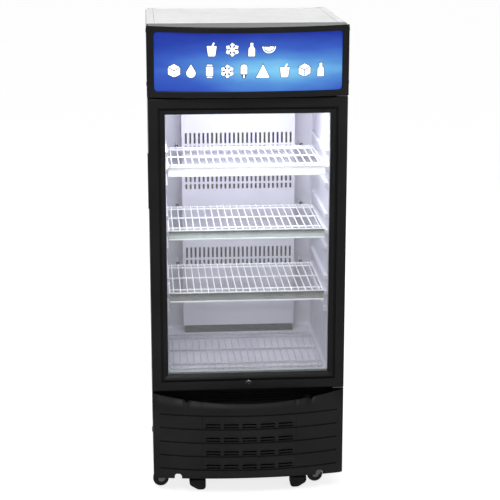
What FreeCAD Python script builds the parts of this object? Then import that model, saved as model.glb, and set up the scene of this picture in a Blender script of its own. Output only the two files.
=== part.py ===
import FreeCAD, Part
import Sketcher
import math
import os
import re

# Glass door merchandiser, an upright drinks cooler on casters.
# Frame: +X to the right of the front, +Y to the back, +Z up; the origin is at
# the centre of the overall box, on the floor. All sizes are millimetres.

DOC = FreeCAD.newDocument("merchandiser")
SHEET = DOC.addObject("Spreadsheet::Sheet", "Sizes")

# Driving dimensions, one cell each.
SIZES = {
    # overall
    "body_width": 600,
    "overall_depth": 645,
    "overall_height": 1476,
    "header_height": 210,
    "header_bow_top": 70,
    "header_bow_low": 26,
    "spacer_depth": 12,
    "spacer_width": 34,
    "spacer_height": 32,
    "spacer_inset": 2,
    "spacer_rise": 4,
    # how far cutting blocks run past what they open, and welded bars into each other
    "over": 1,
    # casing
    "skin": 1.2,
    "fold": 24,
    "foam": 43,
    "liner_wall": 1.6,
    "base_top": 75,
    "base_plate": 3,
    "sill_play": 0.5,
    "sill_front": 12,
    "sill_clear": 2,
    "sill_height": 40,
    "back_vent_low": 40,
    "back_vent_pitch": 22,
    "back_vent_slot": 8,
    "back_vent_half_width": 190,
    "cell_floor": 387,
    "cell_roof_drop": 44,
    "breaker_depth": 30,
    # door
    "door_low": 342,
    "door_gap": 5,
    "door_thickness": 36,
    "seal": 9,
    "seal_gap": 0.3,
    "seal_width": 18,
    "seal_inset": 27,
    "band": 29,
    "groove_width": 7,
    "groove_depth": 4,
    "rail_width": 50,
    "bevel_front": 1,
    "bevel_depth": 11,
    "lip": 2,
    "channel_step": 10,
    "channel_width": 17,
    "glass": 4,
    "glass_play": 0.2,
    "glass_edge_play": 1,
    "glass_spacer_width": 10,
    "hinge_inset": 14,
    "hinge_back": 18,
    "pin_radius": 4,
    "pin_play": 0.05,
    "pin_reach": 16,
    "hinge_plate": 3,
    "hinge_plate_width": 34,
    "hinge_plate_front": 4,
    "hinge_clear": 1,
    "lock_rise": 22.5,
    "lock_radius": 8.5,
    "lock_play": 0.05,
    "lock_proud": 3,
    "cam_length": 28,
    "cam_width": 8,
    "cam_thickness": 2.5,
    "cam_gap": 0.5,
    "key_slot_width": 1.6,
    "key_slot_height": 8,
    "key_slot_depth": 9,
    "grip_length": 168,
    "grip_drop": 252,
    "grip_proud": 3,
    "grip_depth": 14,
    "grip_width": 24,
    "grip_front": 6,
    "grip_wall": 3,
    "grip_lip": 6,
    "grip_end": 8,
    # header
    "header_wall": 3,
    "header_back": 76,
    "header_skirt": 34,
    "window_side": 18.5,
    "window_top": 15,
    "window_low": 16,
    "window_radius": 12,
    "sign_thickness": 2.5,
    "sign_margin": 6,
    "sign_play": 1,
    "cover_thickness": 2,
    "cover_play": 0.4,
    "tray_depth": 18,
    "tray_back": 40,
    "tray_sheet": 2,
    "tray_inset": 12,
    "tray_low": 40,
    "lamp_inset": 40,
    "lamp_low": 82,
    "lamp_high": 152,
    "lamp_radius": 8,
    "screw_radius": 6,
    "screw_head": 3,
    "screw_low": 38,
    "screw_drop": 14,
    "screw_back": 14,
    "small_screw_radius": 4,
    # lower grille
    "grille_low": 55.5,
    "grille_smile": 27,
    "grille_arch": 8,
    "arch_inset": 6,
    "grille_bow": 46,
    "grille_wall": 3,
    "grille_return": 44,
    "rib_low": 88.4,
    "rib_pitch": 45,
    "rib_margin": 23,
    "rib_groove": 3,
    "rib_groove_depth": 1.5,
    "vent_pitch": 56.9,
    "vent_length": 45,
    "vent_slot": 4.5,
    "vent_rise": 6,
    "vent_step": 10.5,
    "notch_x": 195,
    "notch_width": 16,
    "notch_depth": 8,
    "notch_rise": 4,
    "tow_notch_x": 223,
    "tow_notch_width": 23,
    "tow_notch_height": 16,
    "louvre_slot": 3,
    "louvre_pitch": 9,
    "louvre_sheet": 2,
    "louvre_drop": 5,
    "louvre_ledge": 16,
    "louvre_ledge_drop": 60,
    "louvre_first_drop": 50,
    "louvre_left": 120,
    "louvre_right": 10,
    "louvre_length": 110,
    "louvre_screw_drop": 22,
    "louvre_screw_left": 150,
    "louvre_screw_pair": 12,
    "louvre_screw_right": 112,
    "air_window_low": 10,
    "air_window_drop": 20,
    # shelves
    "bottom_bay": 256,
    "top_bay": 180,
    "shelf_front": 70,
    "shelf_gap": 45,
    "shelf_side_gap": 13.2,
    "wire_radius": 1.8,
    "rim_radius": 2.8,
    "wire_margin": 12.6,
    "wire_overhang": 1.5,
    "weld_sink": 0.8,
    "strip_height": 27,
    "strip_thickness": 2,
    "strip_gap": 0.5,
    "strip_lean": 5,
    "strip_drop": 3,
    "rack_lift": 3,
    "ledge_depth": 12,
    "ledge_height": 14,
    "ledge_pitch": 51,
    "insert_wall": 1.5,
    "insert_gap": 4,
    "insert_end": 40,
    "clip_side": 18,
    "clip_width": 10,
    "clip_height": 6,
    "clip_gap": 0.3,
    # air duct
    "pilaster_width": 66.2,
    "duct_depth": 62.2,
    "duct_wall": 2,
    "duct_gap_low": 26,
    "duct_gap_top": 12,
    "slot_margin": 14,
    "slot_width": 6.5,
    "slot_tall": 36,
    "slot_short": 17,
    "slot_space": 7,
    "slots_top": 35,
    "slots_middle": 105,
    "slots_low": 44,
    "evaporator_side": 38,
    "evaporator_low": 50,
    "evaporator_height": 100,
    "evaporator_front_gap": 8,
    "evaporator_back_gap": 6,
    "evaporator_end": 12,
    "evaporator_end_inset": 6,
    "cell_lamp_inset": 20,
    "cell_lamp_gap": 6,
    "cell_lamp_depth": 20,
    "cell_lamp_height": 12,
    # running gear
    "caster_side": 52,
    "caster_front": 70,
    "caster_rear": 70,
    "caster_trail": 29,
    "wheel_radius": 25,
    "wheel_width": 20,
    "axle_radius": 4,
    "axle_play": 0.05,
    "fork_wall": 3,
    "fork_gap": 1.5,
    "fork_nose": 12,
    "fork_tail": 17.4,
    "leg_tail": 9,
    "leg_rise": 2,
    "leg_foot_back": 5,
    "leg_foot_front": 7,
    "leg_foot_drop": 8,
    "swivel_radius": 17,
    "swivel_height": 5,
    "swivel_play": 0.3,
    "plate_side": 56,
    "plate_thickness": 3,
    "foot_x": 161,
    "foot_front": 34,
    "foot_half_width": 26,
    "foot_lift": 2,
    "foot_height": 34,
    "foot_depth": 40,
    "foot_toe": 18,
    "foot_side": 12,
    "stem_radius": 5,
    "stem_play": 0.05,
    "stem_rise": 15,
    # machinery
    "compressor_radius": 72,
    "compressor_height": 150,
    "compressor_left": 120,
    "compressor_back": 110,
    "dome_height": 30,
    "foot_plate_half_width": 85,
    "foot_plate_half_depth": 60,
    "foot_plate": 3,
    "grommet_height": 14,
    "grommet_radius": 11,
    "grommet_across": 72,
    "grommet_along": 48,
    "coil_half_width": 125,
    "coil_depth": 44,
    "coil_height": 200,
    "coil_front": 80,
    "coil_lift": 2,
    "coil_cheek": 3,
    "cheek_over": 2,
    "fan_radius": 82,
    "fan_hub": 18,
    "fan_hub_length": 16,
    "fan_rise": 104,
    "fan_gap": 22,
    "motor_gap": 8,
    "motor_length": 44,
    "motor_radius": 30,
    "motor_foot_half": 16,
    "motor_foot_start": 10,
    "motor_foot_end": 34,
    "blade_root": 3,
    "blade_thickness": 1.6,
    "fan_blade_angle": 54,
    "cold_fan_radius": 48,
    "cold_fan_rise": 30,
    "cold_fan_front": 32,
    "cold_hub_radius": 14,
    "cold_hub_length": 14,
    "cold_motor_length": 14,
    "cold_motor_radius": 22,
    "shaft_radius": 3,
    "shaft_play": 0.05,
    "knob_radius": 14,
    "knob_length": 14,
    "knob_x": 190,
    "knob_drop": 40,
    "knob_gap": 0.3,
    "knob_grip_width": 5,
    "knob_grip_proud": 4,
    "knob_grip_inset": 2,
    "pan_left": 20,
    "pan_side": 50,
    "pan_front": 190,
    "pan_back": 40,
    "pan_height": 34,
    "pan_wall": 2,
    "tube_back": 150,
    "tube_rise": 130,
    "tube_radius": 4,
    "tube_gap": 3,
    "drier_start": 40,
    "drier_length": 90,
    "drier_radius": 11,
    "riser_x": 104,
    "riser_height": 110,
}

# Counts and shares of what repeats.
BACK_VENT_ROWS = 8
RIBS = 5
VENT_COLUMNS = 5
LOUVRE_ROWS = 4
SHELF_WIRES = 22
SHELF_CROSS_WIRES = ("0", "0.13", "0.53", "0.9", "1")
DUCT_SLOTS = 25
FAN_BLADES = 4
BLADE_CHORD = 1.6

# Places that follow from the driving dimensions.
DERIVED = {
    "half_width": "body_width / 2",
    "front_y": "header_bow_top - overall_depth / 2",
    "back_y": "overall_depth / 2 - spacer_depth",
    "case_y": "front_y + door_thickness + seal + seal_gap",
    "header_low": "overall_height - header_height",
    "door_top": "header_low - door_gap",
    "door_height": "door_top - door_low",
    "inner_half": "half_width - skin - foam - liner_wall",
    "cell_back": "back_y - skin - foam - liner_wall",
    "cell_roof": "header_low - cell_roof_drop",
    "shelf_low": "cell_floor + bottom_bay",
    "shelf_high": "cell_roof - top_bay",
    "shelf_mid": "(shelf_low + shelf_high) / 2",
    "axis_x": "half_width - hinge_inset",
    "axis_y": "front_y + hinge_back",
    "lock_z": "door_low + lock_rise",
    "grille_top": "door_low - door_gap",
    "grip_middle": "door_top - grip_drop",
    "window_width": "body_width - 2 * window_side",
    "window_height": "header_height - window_low - window_top",
    "rib_half_length": "half_width - rib_margin",
    "duct_y": "cell_back - duct_depth",
    "duct_half_width": "inner_half - pilaster_width",
    "slot_pitch": f"(duct_half_width - slot_margin) / {DUCT_SLOTS // 2}",
    "evaporator_half_width": "duct_half_width - evaporator_side",
    "clip_x": "duct_half_width + clip_side",
    "shelf_length": "duct_y - shelf_gap - front_y - shelf_front",
    "shelf_half_width": "inner_half - shelf_side_gap",
    "wire_pitch": f"2 * (shelf_half_width - wire_margin) / {SHELF_WIRES - 1}",
    "caster_x": "half_width - caster_side",
    "pan_right": "half_width - pan_side",
    "tray_y": "front_y + header_back - tray_back",
    "glass_inset": "rail_width - channel_step + glass_edge_play",
}


def centred(count):
    """Whole numbers about zero, for an odd count."""
    return range(-(count // 2), count // 2 + 1)


def cell(words):
    """An expression on the sheet: derived places are written out, sizes point at their cells."""
    def swap(match):
        word = match.group(0)
        if word in DERIVED:
            return "(" + cell(DERIVED[word]) + ")"
        if word in SIZES:
            return "Sizes." + word
        return word
    return re.sub(r"[a-z][a-z_]*[a-z]", swap, str(words))


def value(words):
    """The number that an expression has now."""
    return float(SHEET.evalExpression(cell(words)))


def bind(thing, field, words):
    thing.setExpression(field, cell(words))


def move(thing, x, y, z):
    bind(thing, "Placement.Base.x", x)
    bind(thing, "Placement.Base.y", y)
    bind(thing, "Placement.Base.z", z)
    return thing


def turn(thing, axis, degrees):
    thing.Placement = FreeCAD.Placement(FreeCAD.Vector(), FreeCAD.Rotation(FreeCAD.Vector(*axis), degrees))
    return thing


def box(x, y, z, name="block"):
    """A block between pairs of places (low, high) along each axis."""
    block = DOC.addObject("Part::Box", name)
    bind(block, "Length", f"({x[1]}) - ({x[0]})")
    bind(block, "Width", f"({y[1]}) - ({y[0]})")
    bind(block, "Height", f"({z[1]}) - ({z[0]})")
    return move(block, x[0], y[0], z[0])


def rod(axis, start, length, radius, name="rod"):
    """A round bar from a start point along +X, +Y or +Z."""
    bar = DOC.addObject("Part::Cylinder", name)
    bind(bar, "Radius", radius)
    bind(bar, "Height", length)
    turns = {"x": ((0, 1, 0), 90), "y": ((1, 0, 0), -90), "z": ((0, 0, 1), 0)}
    turn(bar, *turns[axis])
    return move(bar, *start)


def fuse(*pieces):
    joined = DOC.addObject("Part::MultiFuse", "join")
    joined.Shapes = list(pieces)
    return joined


def cut(base, *tools):
    tool = tools[0] if len(tools) == 1 else bundle(*tools)
    cutter = DOC.addObject("Part::Cut", "cut")
    cutter.Base = base
    cutter.Tool = tool
    return cutter


def common(first, second):
    shared = DOC.addObject("Part::Common", "common")
    shared.Base = first
    shared.Tool = second
    return shared


def bundle(*pieces):
    """Separate solids kept together."""
    group = DOC.addObject("Part::Compound", "bundle")
    group.Links = list(pieces)
    return group


PARTS = []


def keep(node, thing):
    """Names a finished sub-part and lists it for export."""
    thing.Label = node
    PARTS.append(thing)
    return thing


def plane_of(body, role):
    for feature in body.Origin.OriginFeatures:
        if feature.Role == role:
            return feature
    raise ValueError(role)


def draw(sketch, outline):
    """Closes an outline of (across, up) places; a third entry is the radius of the arc to the next."""
    count = len(outline)
    spots = [FreeCAD.Vector(value(point[0]), value(point[1]), 0) for point in outline]
    for index, point in enumerate(outline):
        start = spots[index]
        end = spots[(index + 1) % count]
        if len(point) > 2:
            sketch.addGeometry(arc_between(start, end, value(point[2])), False)
        else:
            sketch.addGeometry(Part.LineSegment(start, end), False)
    pin_outline(sketch, outline, spots)


def arc_between(start, end, radius):
    """A counter-clockwise arc with its middle on the right of the way from start to end."""
    chord = end - start
    half = chord.Length / 2
    rise = math.sqrt(radius * radius - half * half)
    left = FreeCAD.Vector(-chord.y, chord.x, 0).normalize()
    centre = start + chord * 0.5 + left * rise
    circle = Part.Circle(centre, FreeCAD.Vector(0, 0, 1), radius)
    first = math.atan2(start.y - centre.y, start.x - centre.x)
    last = math.atan2(end.y - centre.y, end.x - centre.x)
    return Part.ArcOfCircle(circle, first, last)


def pin_outline(sketch, outline, spots):
    """Joins the sketch's edges end to end and binds each corner to the sheet."""
    count = len(outline)
    for index in range(count):
        after = (index + 1) % count
        sketch.addConstraint(Sketcher.Constraint("Coincident", index, 2, after, 1))
    for index, point in enumerate(outline):
        spot = spots[index]
        for kind, distance, words in (("DistanceX", spot.x, point[0]), ("DistanceY", spot.y, point[1])):
            number = sketch.addConstraint(Sketcher.Constraint(kind, -1, 1, index, 1, distance))
            sketch.setExpression(f"Constraints[{number}]", cell(words))
        if len(point) > 2:
            number = sketch.addConstraint(Sketcher.Constraint("Radius", index, value(point[2])))
            sketch.setExpression(f"Constraints[{number}]", cell(point[2]))


def pad(role, outline, start, length):
    """A body with one padded sketch; it starts at a place along the plane's normal."""
    body = DOC.addObject("PartDesign::Body", "Body")
    sketch = body.newObject("Sketcher::SketchObject", "Sketch")
    sketch.AttachmentSupport = (plane_of(body, role), [""])
    sketch.MapMode = "FlatFace"
    draw(sketch, outline)
    feature = body.newObject("PartDesign::Pad", "Pad")
    feature.Profile = sketch
    bind(feature, "Length", length)
    body.Tip = feature
    axis = {"XY_Plane": "z", "XZ_Plane": "y", "YZ_Plane": "x"}[role]
    bind(body, "Placement.Base." + axis, start)
    return body


def pad_x(outline, low, high):
    """Pads a (y, z) outline from low to high along X."""
    return pad("YZ_Plane", outline, low, f"({high}) - ({low})")


def pad_y(outline, low, high):
    """Pads an (x, z) outline from low to high along Y."""
    return pad("XZ_Plane", outline, high, f"({high}) - ({low})")


def pad_z(outline, low, high):
    """Pads an (x, y) outline from low to high along Z."""
    return pad("XY_Plane", outline, low, f"({high}) - ({low})")


def bow_radius(half, bow):
    return f"(({half}) * ({half}) + ({bow}) * ({bow})) / (2 * ({bow}))"


# ---------------------------------------------------------------- casing

def side_panel(node, side):
    """Outer skin with a folded top flange, a front return and a back return."""
    low = "base_top"
    if side < 0:
        wall = ("-half_width", "-half_width + skin")
        flange = ("-half_width", "-half_width + fold")
    else:
        wall = ("half_width - skin", "half_width")
        flange = ("half_width - fold", "half_width")
    depth = ("case_y", "back_y")
    sheet = box(wall, depth, (low, "overall_height"))
    top = box(flange, ("front_y + header_back", "back_y"), ("overall_height - skin", "overall_height"))
    back = box(flange, ("back_y - skin", "back_y"), (low, "overall_height"))
    front = box(flange, ("case_y", "case_y + skin"), (low, "cell_floor - foam"))
    keep(node, fuse(sheet, top, back, front))


def top_panel():
    plate = box(
        ("-half_width + fold", "half_width - fold"),
        ("front_y + header_back", "back_y - skin"),
        ("overall_height - skin", "overall_height"),
    )
    keep("top_panel", plate)


def back_panel():
    """Back sheet; its lower part lets the warm air out through rows of slots."""
    sheet = box(
        ("-half_width + fold", "half_width - fold"),
        ("back_y - skin", "back_y"),
        ("base_top", "overall_height - skin"),
    )
    slots = []
    for row in range(BACK_VENT_ROWS):
        low = f"base_top + back_vent_low + {row} * back_vent_pitch"
        slots.append(box(("-back_vent_half_width", "back_vent_half_width"),
                         ("back_y - skin - over", "back_y + over"), (low, low + " + back_vent_slot")))
    keep("back_panel", cut(sheet, *slots))


def foam_core():
    """Foamed wall between the outer skin and the liner, open at the front."""
    outer = box(
        ("-half_width + skin", "half_width - skin"),
        ("case_y", "back_y - skin"),
        ("cell_floor - liner_wall - foam", "overall_height - skin"),
    )
    inner = box(
        ("-inner_half - liner_wall", "inner_half + liner_wall"),
        ("case_y - over", "cell_back + liner_wall"),
        ("cell_floor - liner_wall", "cell_roof + liner_wall"),
    )
    notch = box(
        ("-half_width", "half_width"),
        ("case_y - over", "front_y + header_back"),
        ("header_low + header_skirt", "overall_height + over"),
    )
    front_return = bundle(
        box(("-half_width", "-half_width + fold"), ("case_y - over", "case_y + skin"),
            ("base_top", "cell_floor - foam")),
        box(("half_width - fold", "half_width"), ("case_y - over", "case_y + skin"),
            ("base_top", "cell_floor - foam")),
    )
    keep("foam_core", cut(outer, inner, notch, front_return))


def inner_liner():
    """White moulded tank; its open front stops at the breaker frame."""
    outer = box(
        ("-inner_half - liner_wall", "inner_half + liner_wall"),
        ("case_y + breaker_depth", "cell_back + liner_wall"),
        ("cell_floor - liner_wall", "cell_roof + liner_wall"),
    )
    inner = box(
        ("-inner_half", "inner_half"),
        ("case_y - over", "cell_back"),
        ("cell_floor", "cell_roof"),
    )
    keep("inner_liner", cut(outer, inner))


def breaker_frame():
    """Plastic frame between skin and liner: a collar in the mouth and a flat rim on the face."""
    collar = box(
        ("-inner_half - liner_wall", "inner_half + liner_wall"),
        ("case_y", "case_y + breaker_depth"),
        ("cell_floor - liner_wall", "cell_roof + liner_wall"),
    )
    mouth = box(
        ("-inner_half", "inner_half"),
        ("case_y - over", "case_y + breaker_depth + over"),
        ("cell_floor", "cell_roof"),
    )
    keep("breaker_frame", cut(collar, mouth))


def base_frame():
    """Folded tray that carries the machinery, with a front sill under the door."""
    side = "(half_width - grille_wall - sill_play)"
    plate = box((f"-{side}", side), ("front_y + sill_front", "back_y - skin"),
                ("base_top - base_plate", "base_top"))
    walls = []
    for low in (f"-{side}", f"{side} - base_plate"):
        walls.append(box((low, low + " + base_plate"), ("case_y + sill_clear", "back_y - skin - sill_clear"),
                         ("base_top - over", "base_top + sill_height")))
    holes = []
    for x in ("-foot_x", "foot_x"):
        holes.append(rod("z", (x, "front_y + foot_front", "base_top - base_plate - over"),
                         "base_plate + 2 * over", "stem_radius + stem_play"))
    keep("base_frame", cut(fuse(plate, *walls), *holes))


def rear_spacers():
    """Bumpers at the back corners that keep an air gap to the wall."""
    pieces = []
    for low in ("-half_width + spacer_inset", "half_width - spacer_inset - spacer_width"):
        for z in ("overall_height - spacer_height", "base_top + spacer_rise"):
            pieces.append(box((low, low + " + spacer_width"), ("back_y", "back_y + spacer_depth"),
                              (z, z + " + spacer_height")))
    keep("rear_spacers", bundle(*pieces))


# ---------------------------------------------------------------- header

def bow_at(height):
    """Bow of the header's front at a height above its lower edge; it grows to the top."""
    return f"(header_bow_low + (header_bow_top - header_bow_low) * ({height}) / header_height)"


def bow_profile(height, inset, side_inset, back):
    """Sketch across the header: straight back, straight sides and a bowed front."""
    sketch = DOC.addObject("Sketcher::SketchObject", "Section")
    half = f"(half_width - ({side_inset}))"
    front = f"(front_y + ({inset}))"
    radius = bow_radius(half, bow_at(height))
    outline = [
        ("-" + half, front, radius),
        (half, front),
        (half, back),
        ("-" + half, back),
    ]
    draw(sketch, outline)
    bind(sketch, "Placement.Base.z", f"header_low + ({height})")
    return sketch


def bowed_block(low, high, inset, side_inset, back):
    """Solid between two heights above the header's lower edge, with the bowed front set back."""
    loft = DOC.addObject("Part::Loft", "Loft")
    loft.Sections = [bow_profile(low, inset, side_inset, back), bow_profile(high, inset, side_inset, back)]
    loft.Solid = True
    loft.Ruled = True
    return loft


def rounded_window(grow, low_y, high_y):
    """Window with rounded corners, through the header's front."""
    half = f"(window_width / 2 + ({grow}))"
    low = f"(header_low + window_low - ({grow}))"
    high = f"(header_low + window_low + window_height + ({grow}))"
    r = f"(window_radius + ({grow}))"
    outline = [
        (f"-{half} + {r}", low),
        (f"{half} - {r}", low, r),
        (half, f"{low} + {r}"),
        (half, f"{high} - {r}", r),
        (f"{half} - {r}", high),
        (f"-{half} + {r}", high, r),
        (f"-{half}", f"{high} - {r}"),
        (f"-{half}", f"{low} + {r}", r),
    ]
    return pad_y(outline, low_y, high_y)


HEADER_BACK = "front_y + header_back"


def header_frame():
    """Black bowed housing, open at the top and towards the case, with the sign window."""
    block = bowed_block("0", "header_height", "0", "0", HEADER_BACK)
    hollow = bowed_block("header_wall", "header_height + over", "header_wall", "header_wall",
                         HEADER_BACK + " + over")
    window = rounded_window("0", "front_y - header_bow_top - over", "front_y + header_wall + over")
    case = box(("-half_width - over", "half_width + over"), ("case_y", HEADER_BACK + " + over"),
               ("header_low - over", "header_low + header_skirt"))
    sides = []
    for across in (("-half_width - over", "-half_width + skin"), ("half_width - skin", "half_width + over")):
        sides.append(box(across, ("case_y", HEADER_BACK + " + over"),
                         ("header_low + header_skirt - over", "overall_height + over")))
    keep("header_frame", cut(block, hollow, window, case, *sides))


def header_top_cover():
    """Grey metal cover that closes the header and meets the top panel."""
    lip = "header_wall + cover_play"
    plate = bowed_block("header_height - cover_thickness", "header_height", lip, lip, HEADER_BACK)
    keep("header_top_cover", plate)


def sign_panel():
    """Translucent panel bent to the housing's front, held behind the window's edge."""
    low = "header_wall + sign_play"
    high = "header_height - sign_margin"
    side = "header_wall + sign_margin"
    outer = bowed_block(low, high, "header_wall", side, HEADER_BACK)
    inner = bowed_block(low, high, "header_wall + sign_thickness", side, HEADER_BACK + " + over")
    trim = rounded_window("sign_margin", "front_y - header_bow_top - over", HEADER_BACK)
    keep("sign_panel", common(cut(outer, inner), trim))


def lamp_tray():
    """White reflector behind the sign, with a lip along its top and its bottom."""
    across = ("-half_width + tray_inset", "half_width - tray_inset")
    low = "header_low + tray_low"
    high = "overall_height - tray_inset"
    tray = box(across, ("tray_y - tray_sheet", "tray_y"), (low, high))
    lips = []
    for z in (low, high + " - tray_sheet"):
        lips.append(box(across, ("tray_y - tray_depth", "tray_y"), (z, z + " + tray_sheet")))
    keep("lamp_tray", fuse(tray, *lips))


def sign_lamps():
    """Two lamp tubes in the tray."""
    tubes = []
    for z in ("header_low + lamp_low", "header_low + lamp_high"):
        tubes.append(rod("x", ("-half_width + lamp_inset", "tray_y - tray_sheet - lamp_radius", z),
                         "body_width - 2 * lamp_inset", "lamp_radius"))
    keep("sign_lamps", bundle(*tubes))


def cover_screws():
    """Pan heads on both sides of the header and on the louvre panel."""
    heads = []
    for z in ("header_low + screw_low", "overall_height - screw_drop"):
        for x in ("-half_width - screw_head", "half_width"):
            heads.append(rod("x", (x, "front_y + screw_back", z), "screw_head", "screw_radius"))
    for x in ("-louvre_screw_left", "-louvre_screw_left + louvre_screw_pair", "louvre_screw_right"):
        heads.append(rod("y", (x, "case_y - louvre_sheet - screw_head", "grille_top - louvre_screw_drop"),
                         "screw_head", "small_screw_radius"))
    keep("cover_screws", bundle(*heads))


# ---------------------------------------------------------------- door

def rail_section(across, deep):
    """Points of the frame's section: across from the outer edge inwards, deep from the front."""
    inner = "rail_width"
    step = "(rail_width - channel_step)"
    channel = "(bevel_depth + lip)"
    points = [
        ("0", "0"),
        ("band", "0"),
        ("band", "groove_depth"),
        ("(band + groove_width)", "groove_depth"),
        ("(band + groove_width)", "bevel_front"),
        (inner, "bevel_depth"),
        (inner, channel),
        (step, channel),
        (step, channel + " + channel_width"),
        (inner, channel + " + channel_width"),
        (inner, "door_thickness"),
        ("0", "door_thickness"),
    ]
    return [(across(u), deep(v)) for u, v in points]


def mitre(points):
    """Prism through the door's thickness that trims a frame member's ends."""
    return pad_y(points, "front_y - over", "front_y + door_thickness + over")


DOOR_LEFT = "(-half_width)"
DOOR_RIGHT = "half_width"


def door_stiles():
    for node, edge, sign in (("door_stile_left", DOOR_LEFT, 1), ("door_stile_right", DOOR_RIGHT, -1)):
        way = "+" if sign > 0 else "-"
        section = rail_section(lambda u: f"{edge} {way} ({u})", lambda v: f"front_y + ({v})")
        bar = pad_z(section, "door_low", "door_top")
        inner = f"{edge} {way} rail_width"
        trim = mitre([(edge, "door_low"), (inner, "door_low + rail_width"), (inner, "door_top - rail_width"),
                      (edge, "door_top")])
        piece = common(bar, trim)
        if sign > 0:
            pocket = box(("-half_width - over", "-half_width + grip_depth"),
                         ("front_y + grip_front", "front_y + grip_front + grip_width"),
                         ("grip_middle - grip_length / 2", "grip_middle + grip_length / 2"))
            piece = cut(piece, pocket)
        else:
            bores = []
            for low in ("door_low - over", "door_top - pin_reach - over"):
                bores.append(rod("z", ("axis_x", "axis_y", low), "pin_reach + 2 * over",
                                 "pin_radius + pin_play"))
            piece = cut(piece, *bores)
        keep(node, piece)


def door_rails():
    for node, edge, sign in (("door_rail_bottom", "door_low", 1), ("door_rail_top", "door_top", -1)):
        way = "+" if sign > 0 else "-"
        section = rail_section(lambda u: f"{edge} {way} ({u})", lambda v: f"front_y + ({v})")
        outline = [(y, z) for z, y in section]
        bar = pad_x(outline, DOOR_LEFT, DOOR_RIGHT)
        inner = f"{edge} {way} rail_width"
        trim = mitre([(DOOR_LEFT, edge), (DOOR_LEFT + " + rail_width", inner),
                      (DOOR_RIGHT + " - rail_width", inner), (DOOR_RIGHT, edge)])
        piece = common(bar, trim)
        low = "door_low - over" if sign > 0 else "door_top - pin_reach - over"
        tools = [rod("z", ("axis_x", "axis_y", low), "pin_reach + 2 * over", "pin_radius + pin_play")]
        if sign > 0:
            tools.append(rod("y", ("0", "front_y - over", "lock_z"), "door_thickness + 2 * over",
                             "lock_radius + lock_play"))
        keep(node, cut(piece, *tools))


def pane(node, front):
    """A glass sheet held in the frame's channel."""
    sheet = box(("-half_width + glass_inset", "half_width - glass_inset"), (front, front + " + glass"),
                ("door_low + glass_inset", "door_top - glass_inset"))
    keep(node, sheet)


CHANNEL_FRONT = "front_y + bevel_depth + lip + glass_play"
CHANNEL_BACK = "front_y + bevel_depth + lip + channel_width - glass_play"


def glazing():
    """Two panes with an aluminium spacer between them."""
    pane("glass_outer", CHANNEL_FRONT)
    pane("glass_inner", CHANNEL_BACK + " - glass")
    low = CHANNEL_FRONT + " + glass"
    high = CHANNEL_BACK + " - glass"
    ring = box(("-half_width + glass_inset", "half_width - glass_inset"), (low, high),
               ("door_low + glass_inset", "door_top - glass_inset"))
    inner = "(glass_inset + glass_spacer_width)"
    hole = box((f"-half_width + {inner}", f"half_width - {inner}"), (low + " - over", high + " + over"),
               (f"door_low + {inner}", f"door_top - {inner}"))
    keep("glass_spacer", cut(ring, hole))


def door_gasket():
    """Magnetic seal on the door's back, all round the mouth of the case."""
    depth = ("front_y + door_thickness", "front_y + door_thickness + seal")
    outer = box(("-half_width + seal_inset", "half_width - seal_inset"), depth,
                ("door_low + seal_inset", "door_top - seal_inset"))
    inset = "(seal_inset + seal_width)"
    inner = box((f"-half_width + {inset}", f"half_width - {inset}"),
                (depth[0] + " - over", depth[1] + " + over"), (f"door_low + {inset}", f"door_top - {inset}"))
    keep("door_gasket", cut(outer, inner))


def door_grip():
    """Pull let into the left stile, a little proud of its side, with a finger hollow."""
    body = box(("-half_width - grip_proud", "-half_width + grip_depth"),
               ("front_y + grip_front", "front_y + grip_front + grip_width"),
               ("grip_middle - grip_length / 2", "grip_middle + grip_length / 2"))
    hollow = box(("-half_width - grip_proud - over", "-half_width + grip_depth - grip_wall"),
                 ("front_y + grip_front + grip_lip", "front_y + grip_front + grip_width - grip_wall"),
                 ("grip_middle - grip_length / 2 + grip_end", "grip_middle + grip_length / 2 - grip_end"))
    keep("door_grip", cut(body, hollow))


def lock_cylinder():
    """Key cylinder in the bottom rail, with its cam behind the door."""
    barrel = rod("y", ("0", "front_y - lock_proud", "lock_z"), "door_thickness + lock_proud - seal_gap",
                 "lock_radius")
    cam_front = "front_y + door_thickness + cam_gap"
    neck = rod("y", ("0", "front_y - lock_proud + over", "lock_z"),
               "door_thickness + lock_proud - over + cam_gap + cam_thickness", "cam_width / 2")
    cam = box(("0", "cam_length"), (cam_front, cam_front + " + cam_thickness"),
              ("lock_z - cam_width / 2", "lock_z + cam_width / 2"))
    slot = box(("-key_slot_width / 2", "key_slot_width / 2"),
               ("front_y - lock_proud - over", "front_y - lock_proud + key_slot_depth"),
               ("lock_z - key_slot_height / 2", "lock_z + key_slot_height / 2"))
    keep("lock_cylinder", cut(fuse(barrel, neck, cam), slot))


def hinge(low, pin_low):
    """Plate on the case and the pin that stands in the door."""
    plate = box(("half_width - hinge_plate_width", "half_width - skin"),
                ("front_y + hinge_plate_front", "case_y"), (low, low + " + hinge_plate"))
    pin = rod("z", ("axis_x", "axis_y", pin_low), "hinge_plate + pin_reach", "pin_radius")
    return fuse(plate, pin)


def hinges():
    low = "door_low - hinge_plate - hinge_clear"
    high = "door_top + hinge_clear"
    keep("door_hinges", bundle(hinge(low, low), hinge(high, high + " - pin_reach")))


# ---------------------------------------------------------------- lower grille

def bow_outline(inset, back):
    """Plan of the grille: bowed front and straight side returns."""
    half = f"(half_width - ({inset}))"
    front = f"(front_y + ({inset}))"
    return [
        ("-" + half, front, bow_radius(half, "grille_bow")),
        (half, front),
        (half, back),
        ("-" + half, back),
    ]


def grille_band(inset_out, inset_in, low, high):
    """Layer of the grille's front between two depths, without the returns."""
    outer = pad_z(bow_outline(inset_out, "front_y + grille_return"), low, high)
    inner = pad_z(bow_outline(inset_in, "front_y + grille_return + over"), f"({low}) - over",
                  f"({high}) + over")
    return cut(outer, inner)


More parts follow.
